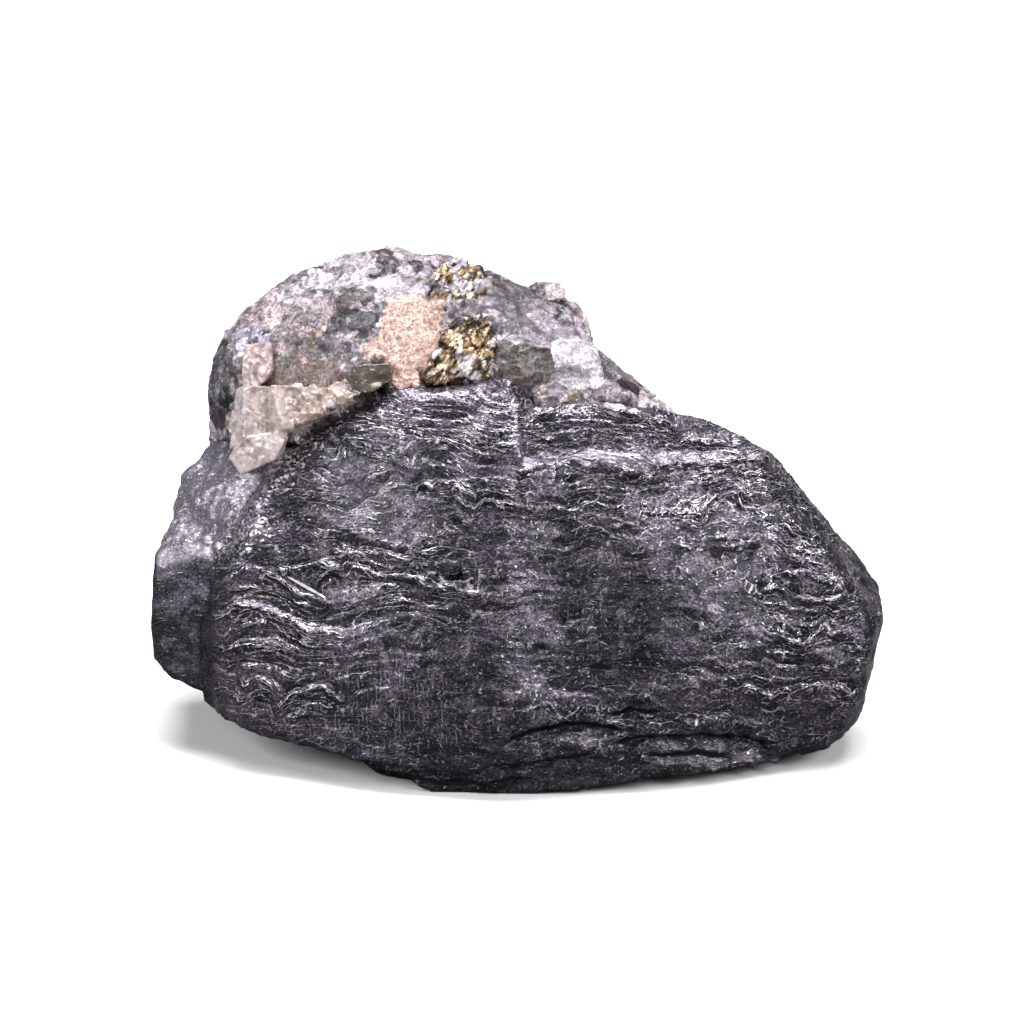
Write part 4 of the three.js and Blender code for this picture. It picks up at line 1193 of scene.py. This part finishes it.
calcite_finish, tree, shader, mm = new_finish("clear calcite")
tint = stored(tree, "tint", "Color")
veils = noise(tree, mm, 0.6, 5.0, 0.65)[0]
flakes = use(tree, sparkle, Millimetres=mm, Grain=1.0, Tilt=0.45)
flecks = use(tree, sparkle, Millimetres=mm, Grain=0.35, Tilt=0.6)
at = axes(tree, mm)
slanting = plus_share(tree, at["Z"], at["X"], 0.55)  # across one cleavage of the rhombs
steep = plus_share(tree, at["X"], at["Z"], -0.30)  # across the next
fine_cracks = {"Lip_width": 0.07, "Jog": 0.1}
traces = [
    use(tree, cleavage, Run=steep, Climb=slanting, Thickness=0.9, Length=3.0, Share=0.45, **fine_cracks),
    use(tree, cleavage, Run=slanting, Climb=steep, Thickness=1.1, Length=2.5, Share=0.40, **fine_cracks),
]
pale = spread(tree, channels(tree, tint)[0], 0.2, 0.6)
lines = times(tree, most(tree, *(trace["Lip"] for trace in traces)), pale)
cloud = times(
    tree,
    spread(tree, veils, 0.36, 0.62, 0.72, 1.12),
    spread(tree, flakes["Chance"], 0.0, 1.0, 0.72, 1.12),
    spread(tree, flecks["Chance two"], 0.0, 1.0, 0.80, 1.14),
)
leaning = combined(tree, "ADD", flakes["Normal"], flecks["Normal"])
level = add(tree, "NewGeometry").outputs["Normal"]
leaning = add(tree, "Mix", {0: pale, 4: level, 5: leaning}, data_type="VECTOR").outputs[1]
rubbed = plus_share(tree, times(tree, veils, 0.2), lines, 0.06)
fill(tree, shader, {
    "Base Color": between(tree, times(tree, lines, 0.40), scaled(tree, tint, cloud), CRACK_TINT),
    "Roughness": spread(tree, veils, 0.35, 0.65, 0.18, 0.05),
    "Normal": bumped(tree, rubbed, combined(tree, "NORMALIZE", leaning), strength=0.7),
})
shader.inputs["Transmission Weight"].default_value = CALCITE_CLEARNESS
shader.inputs["IOR"].default_value = CALCITE_IOR

wear_finish(calcite, calcite_finish)
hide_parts("calcite_crystals")
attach(calcite, "root")


# ------------------------------------------------------------------------------------------ the chalcopyrite
# Two brassy patches of copper ore grown into the matrix, as small wedge-shaped crystals that run in streaks.
# Crystal by crystal they are golden, bronze, brown or black, with more gold in a few spots.

BRASS_CELL = 0.17
rng = np.random.default_rng(7)
STREAK = np.array([0.62, 0.0, 0.78])  # which way the crystals run, along and up the face
STREAK_LONG = 3.2
BRASS_TINTS = {
    "gold": (0.70, 0.55, 0.37),
    "bronze": (0.40, 0.28, 0.165),
    "brown": (0.19, 0.125, 0.075),
    "black": (0.050, 0.045, 0.044),
    "white": (0.70, 0.64, 0.64),
    "lilac": (0.42, 0.39, 0.46),
    "grey": (0.26, 0.24, 0.27),
}
WHITE_STONE = list(BRASS_TINTS).index("white")  # it and those after it are stone, not metal
# How much of a patch each tint has: over the brass, in its golden spots, and over the stone around them.
BRASS_SHARE = [0.08, 0.16, 0.32, 0.38, 0.06, 0, 0]
GOLDEN_SHARE = [0.36, 0.26, 0.17, 0.15, 0.06, 0, 0]
STONE_SHARE = [0.02, 0.02, 0.05, 0.06, 0.25, 0.35, 0.25]
# Each patch, with its number of crystals and its brassy spots, as (along, climb, half width, half height);
# the rest of it is stone.
BRASS_PATCHES = {
    "chalcopyrite_lower": (640, [(-4.6, 49.6, 3.3, 2.6), (-7.0, 46.6, 2.8, 2.2), (-2.6, 48.0, 1.6, 3.0)]),
    "chalcopyrite_upper": (420, [(-7.5, 56.5, 1.3, 0.9), (-4.2, 57.3, 1.3, 0.9), (-6.4, 53.9, 2.4, 0.9)]),
}
GOLDEN_SPOTS = [
    (-7.4, 46.4, 1.4, 1.5),
    (-3.0, 49.0, 0.8, 1.6),
    (-6.2, 49.4, 0.9, 1.6),
    (-6.8, 53.8, 1.0, 0.5),
    (-7.6, 56.8, 0.9, 0.7),
]
WHITE_SPOT = (-5.2, 47.0, 1.1, 1.5)
BRASS_TILT = 0.34  # how far the faces of the crystals lean off the surface
BRASS_STEP = (-0.20, 0.08)  # how far out the middles of the faces lie
BRASS_MOVE = (-0.55, 0.35)  # and how far out any part of them may lie
BRASS_RELIEF = 0.6  # the share of it that they keep
BRASS_METAL = 0.85
GAP_FILL = 0.30  # how far the patch grows sideways into its pocket

brass_finish, tree, shader, mm = new_finish("chalcopyrite")
streaked = {"Vector": mm, "Rotation": (0, math.atan2(STREAK[2], STREAK[0]), 0)}
streaked = drawn_out(tree, add(tree, "Mapping", streaked).outputs[0], (0.4, 1, 1))
facet_sparkle = use(tree, sparkle, Millimetres=streaked, Grain=0.30, Tilt=0.6)
bloom = noise(tree, streaked, 1.6, 4.0, 0.65)[0]
# Each small facet is lighter or darker at random: partly its own tone, partly a painted sparkle.
light = times(tree, spread(tree, facet_sparkle["Chance"], 0, 1, 0.5, 1.4), spread(tree, bloom, 0.35, 0.65, 0.5, 1.3))
fill(tree, shader, {
    "Base Color": scaled(tree, stored(tree, "brass", "Color"), light),
    "Metallic": stored(tree, "metal"),
    "Roughness": spread(tree, facet_sparkle["Chance two"], 0, 1, 0.2, 0.5),
    "Normal": bumped(tree, bloom, facet_sparkle["Normal"], 0.4 * MM),
})


def off_spots(rows, spots):
    """How far places on the face are from the nearest of the spots; inside a spot it is under one."""
    far = [np.hypot((rows[:, 0] - u) / width, (rows[:, 2] - v) / height) for u, v, width, height in spots]
    return np.min(far, axis=0)


for name, (count, spots) in BRASS_PATCHES.items():
    brass = skin_of(name, BRASS_CELL)
    points = read_points(brass.data)
    normals = read_normals(brass.data, 3)
    place = across_face(points)
    drawn = place - np.outer(place @ STREAK, STREAK) * (1 - 1 / STREAK_LONG)
    seeds, owner, move = crowd_over(points, normals, drawn, len(points), count, BRASS_TILT, BRASS_STEP)
    sideways = 1 - eased(-turned_to_face(normals)[:, 1], 0.3, 0.9)
    move = np.clip(move, *BRASS_MOVE) * BRASS_RELIEF + GAP_FILL * sideways
    put_points(brass.data, points + normals * move[:, None] * MM)
    at = place[seeds]
    golden, plain, stone = (
        rng.choice(len(BRASS_TINTS), count, p=share) for share in (GOLDEN_SHARE, BRASS_SHARE, STONE_SHARE)
    )
    pick = np.where(off_spots(at, GOLDEN_SPOTS) + 0.3 * drift(at / 0.8, 83) < 1, golden, plain)
    pick = np.where(off_spots(at, spots) + 0.25 * drift(at / 0.7, 81) < 1, pick, stone)
    pick = np.where(off_spots(at, [WHITE_SPOT]) < 1, WHITE_STONE, pick)
    keep(brass.data, "brass", np.array(list(BRASS_TINTS.values()))[pick][owner])
    keep(brass.data, "metal", np.where(pick < WHITE_STONE, BRASS_METAL, 0.0)[owner])
    wear_finish(brass, brass_finish)
    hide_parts(name)
    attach(brass, "root")


# ------------------------------------------------------------------------------------------ the studio
# A pale flat floor under one large soft light overhead, with a weaker one at each side. The floor and the air
# are paler to the eye than they are to the stone, so that they don't wash it out.

FLOOR_SIZE = 6.0
FLOOR_SEEN, FLOOR_FELT = (0.9, 0.9, 0.9), (0.22, 0.21, 0.22)
AIR_SEEN, AIR_FELT = (1.0, 1.0, 1.0), (0.13, 0.13, 0.14)

floor_bm = bmesh.new()
bmesh.ops.create_grid(floor_bm, x_segments=1, y_segments=1, size=FLOOR_SIZE)
floor_mesh = bpy.data.meshes.new("floor")
floor_bm.to_mesh(floor_mesh)
floor_bm.free()
floor = bpy.data.objects.new("floor", floor_mesh)
bpy.context.scene.collection.objects.link(floor)
floor_finish = bpy.data.materials.new("pale floor")
floor_finish.use_nodes = True
tree = floor_finish.node_tree
shader = tree.nodes["Principled BSDF"]
seen = add(tree, "LightPath").outputs["Is Camera Ray"]
fill(tree, shader, {"Base Color": between(tree, seen, FLOOR_FELT, FLOOR_SEEN)})
shader.inputs["Roughness"].default_value = 0.9
shader.inputs["Specular IOR Level"].default_value = 0.1
floor.data.materials.append(floor_finish)

world = bpy.data.worlds.new("studio air")
bpy.context.scene.world = world
world.use_nodes = True
tree = world.node_tree
seen = add(tree, "LightPath").outputs["Is Camera Ray"]
fill(tree, tree.nodes["Background"], {"Color": between(tree, seen, AIR_FELT, AIR_SEEN)})


def soft_light(name, place, aim, size, watts, colour=(1, 1, 1)):
    lamp = bpy.data.lights.new(name, "AREA")
    lamp.shape = "RECTANGLE"
    lamp.size, lamp.size_y = size
    lamp.energy = watts
    lamp.color = colour
    holder = bpy.data.objects.new(name, lamp)
    holder.location = place
    holder.rotation_euler = (Vector(aim) - Vector(place)).to_track_quat("-Z", "Y").to_euler()
    bpy.context.scene.collection.objects.link(holder)


soft_light("overhead", (0.02, 0.10, 0.50), (0, 0, 0.03), (0.5, 0.34), 5.6, (1.0, 0.97, 1.0))
for side, x in (("left", -0.48), ("right", 0.48)):
    soft_light(side, (x, -0.34, 0.40), (0, 0, 0.02), (0.3, 0.3), 3.2)

VIEW_DISTANCE = 0.626
LENS = 200
SENSOR_WIDTH = 36
NEAREST_SEEN = 0.02
view_target = Vector((-0.00045, 0.00802, 0.02204))
camera_data = bpy.data.cameras.new("camera")
camera_data.lens = LENS
camera_data.sensor_width = SENSOR_WIDTH
camera_data.clip_start = NEAREST_SEEN
camera = bpy.data.objects.new("camera", camera_data)
camera.location = view_target + VIEW_DISTANCE * Vector((0, -math.cos(LEAN), math.sin(LEAN)))
camera.rotation_euler = (view_target - camera.location).to_track_quat("-Z", "Y").to_euler()
bpy.context.scene.collection.objects.link(camera)
bpy.context.scene.camera = camera
bpy.context.scene.view_settings.view_transform = "Standard"
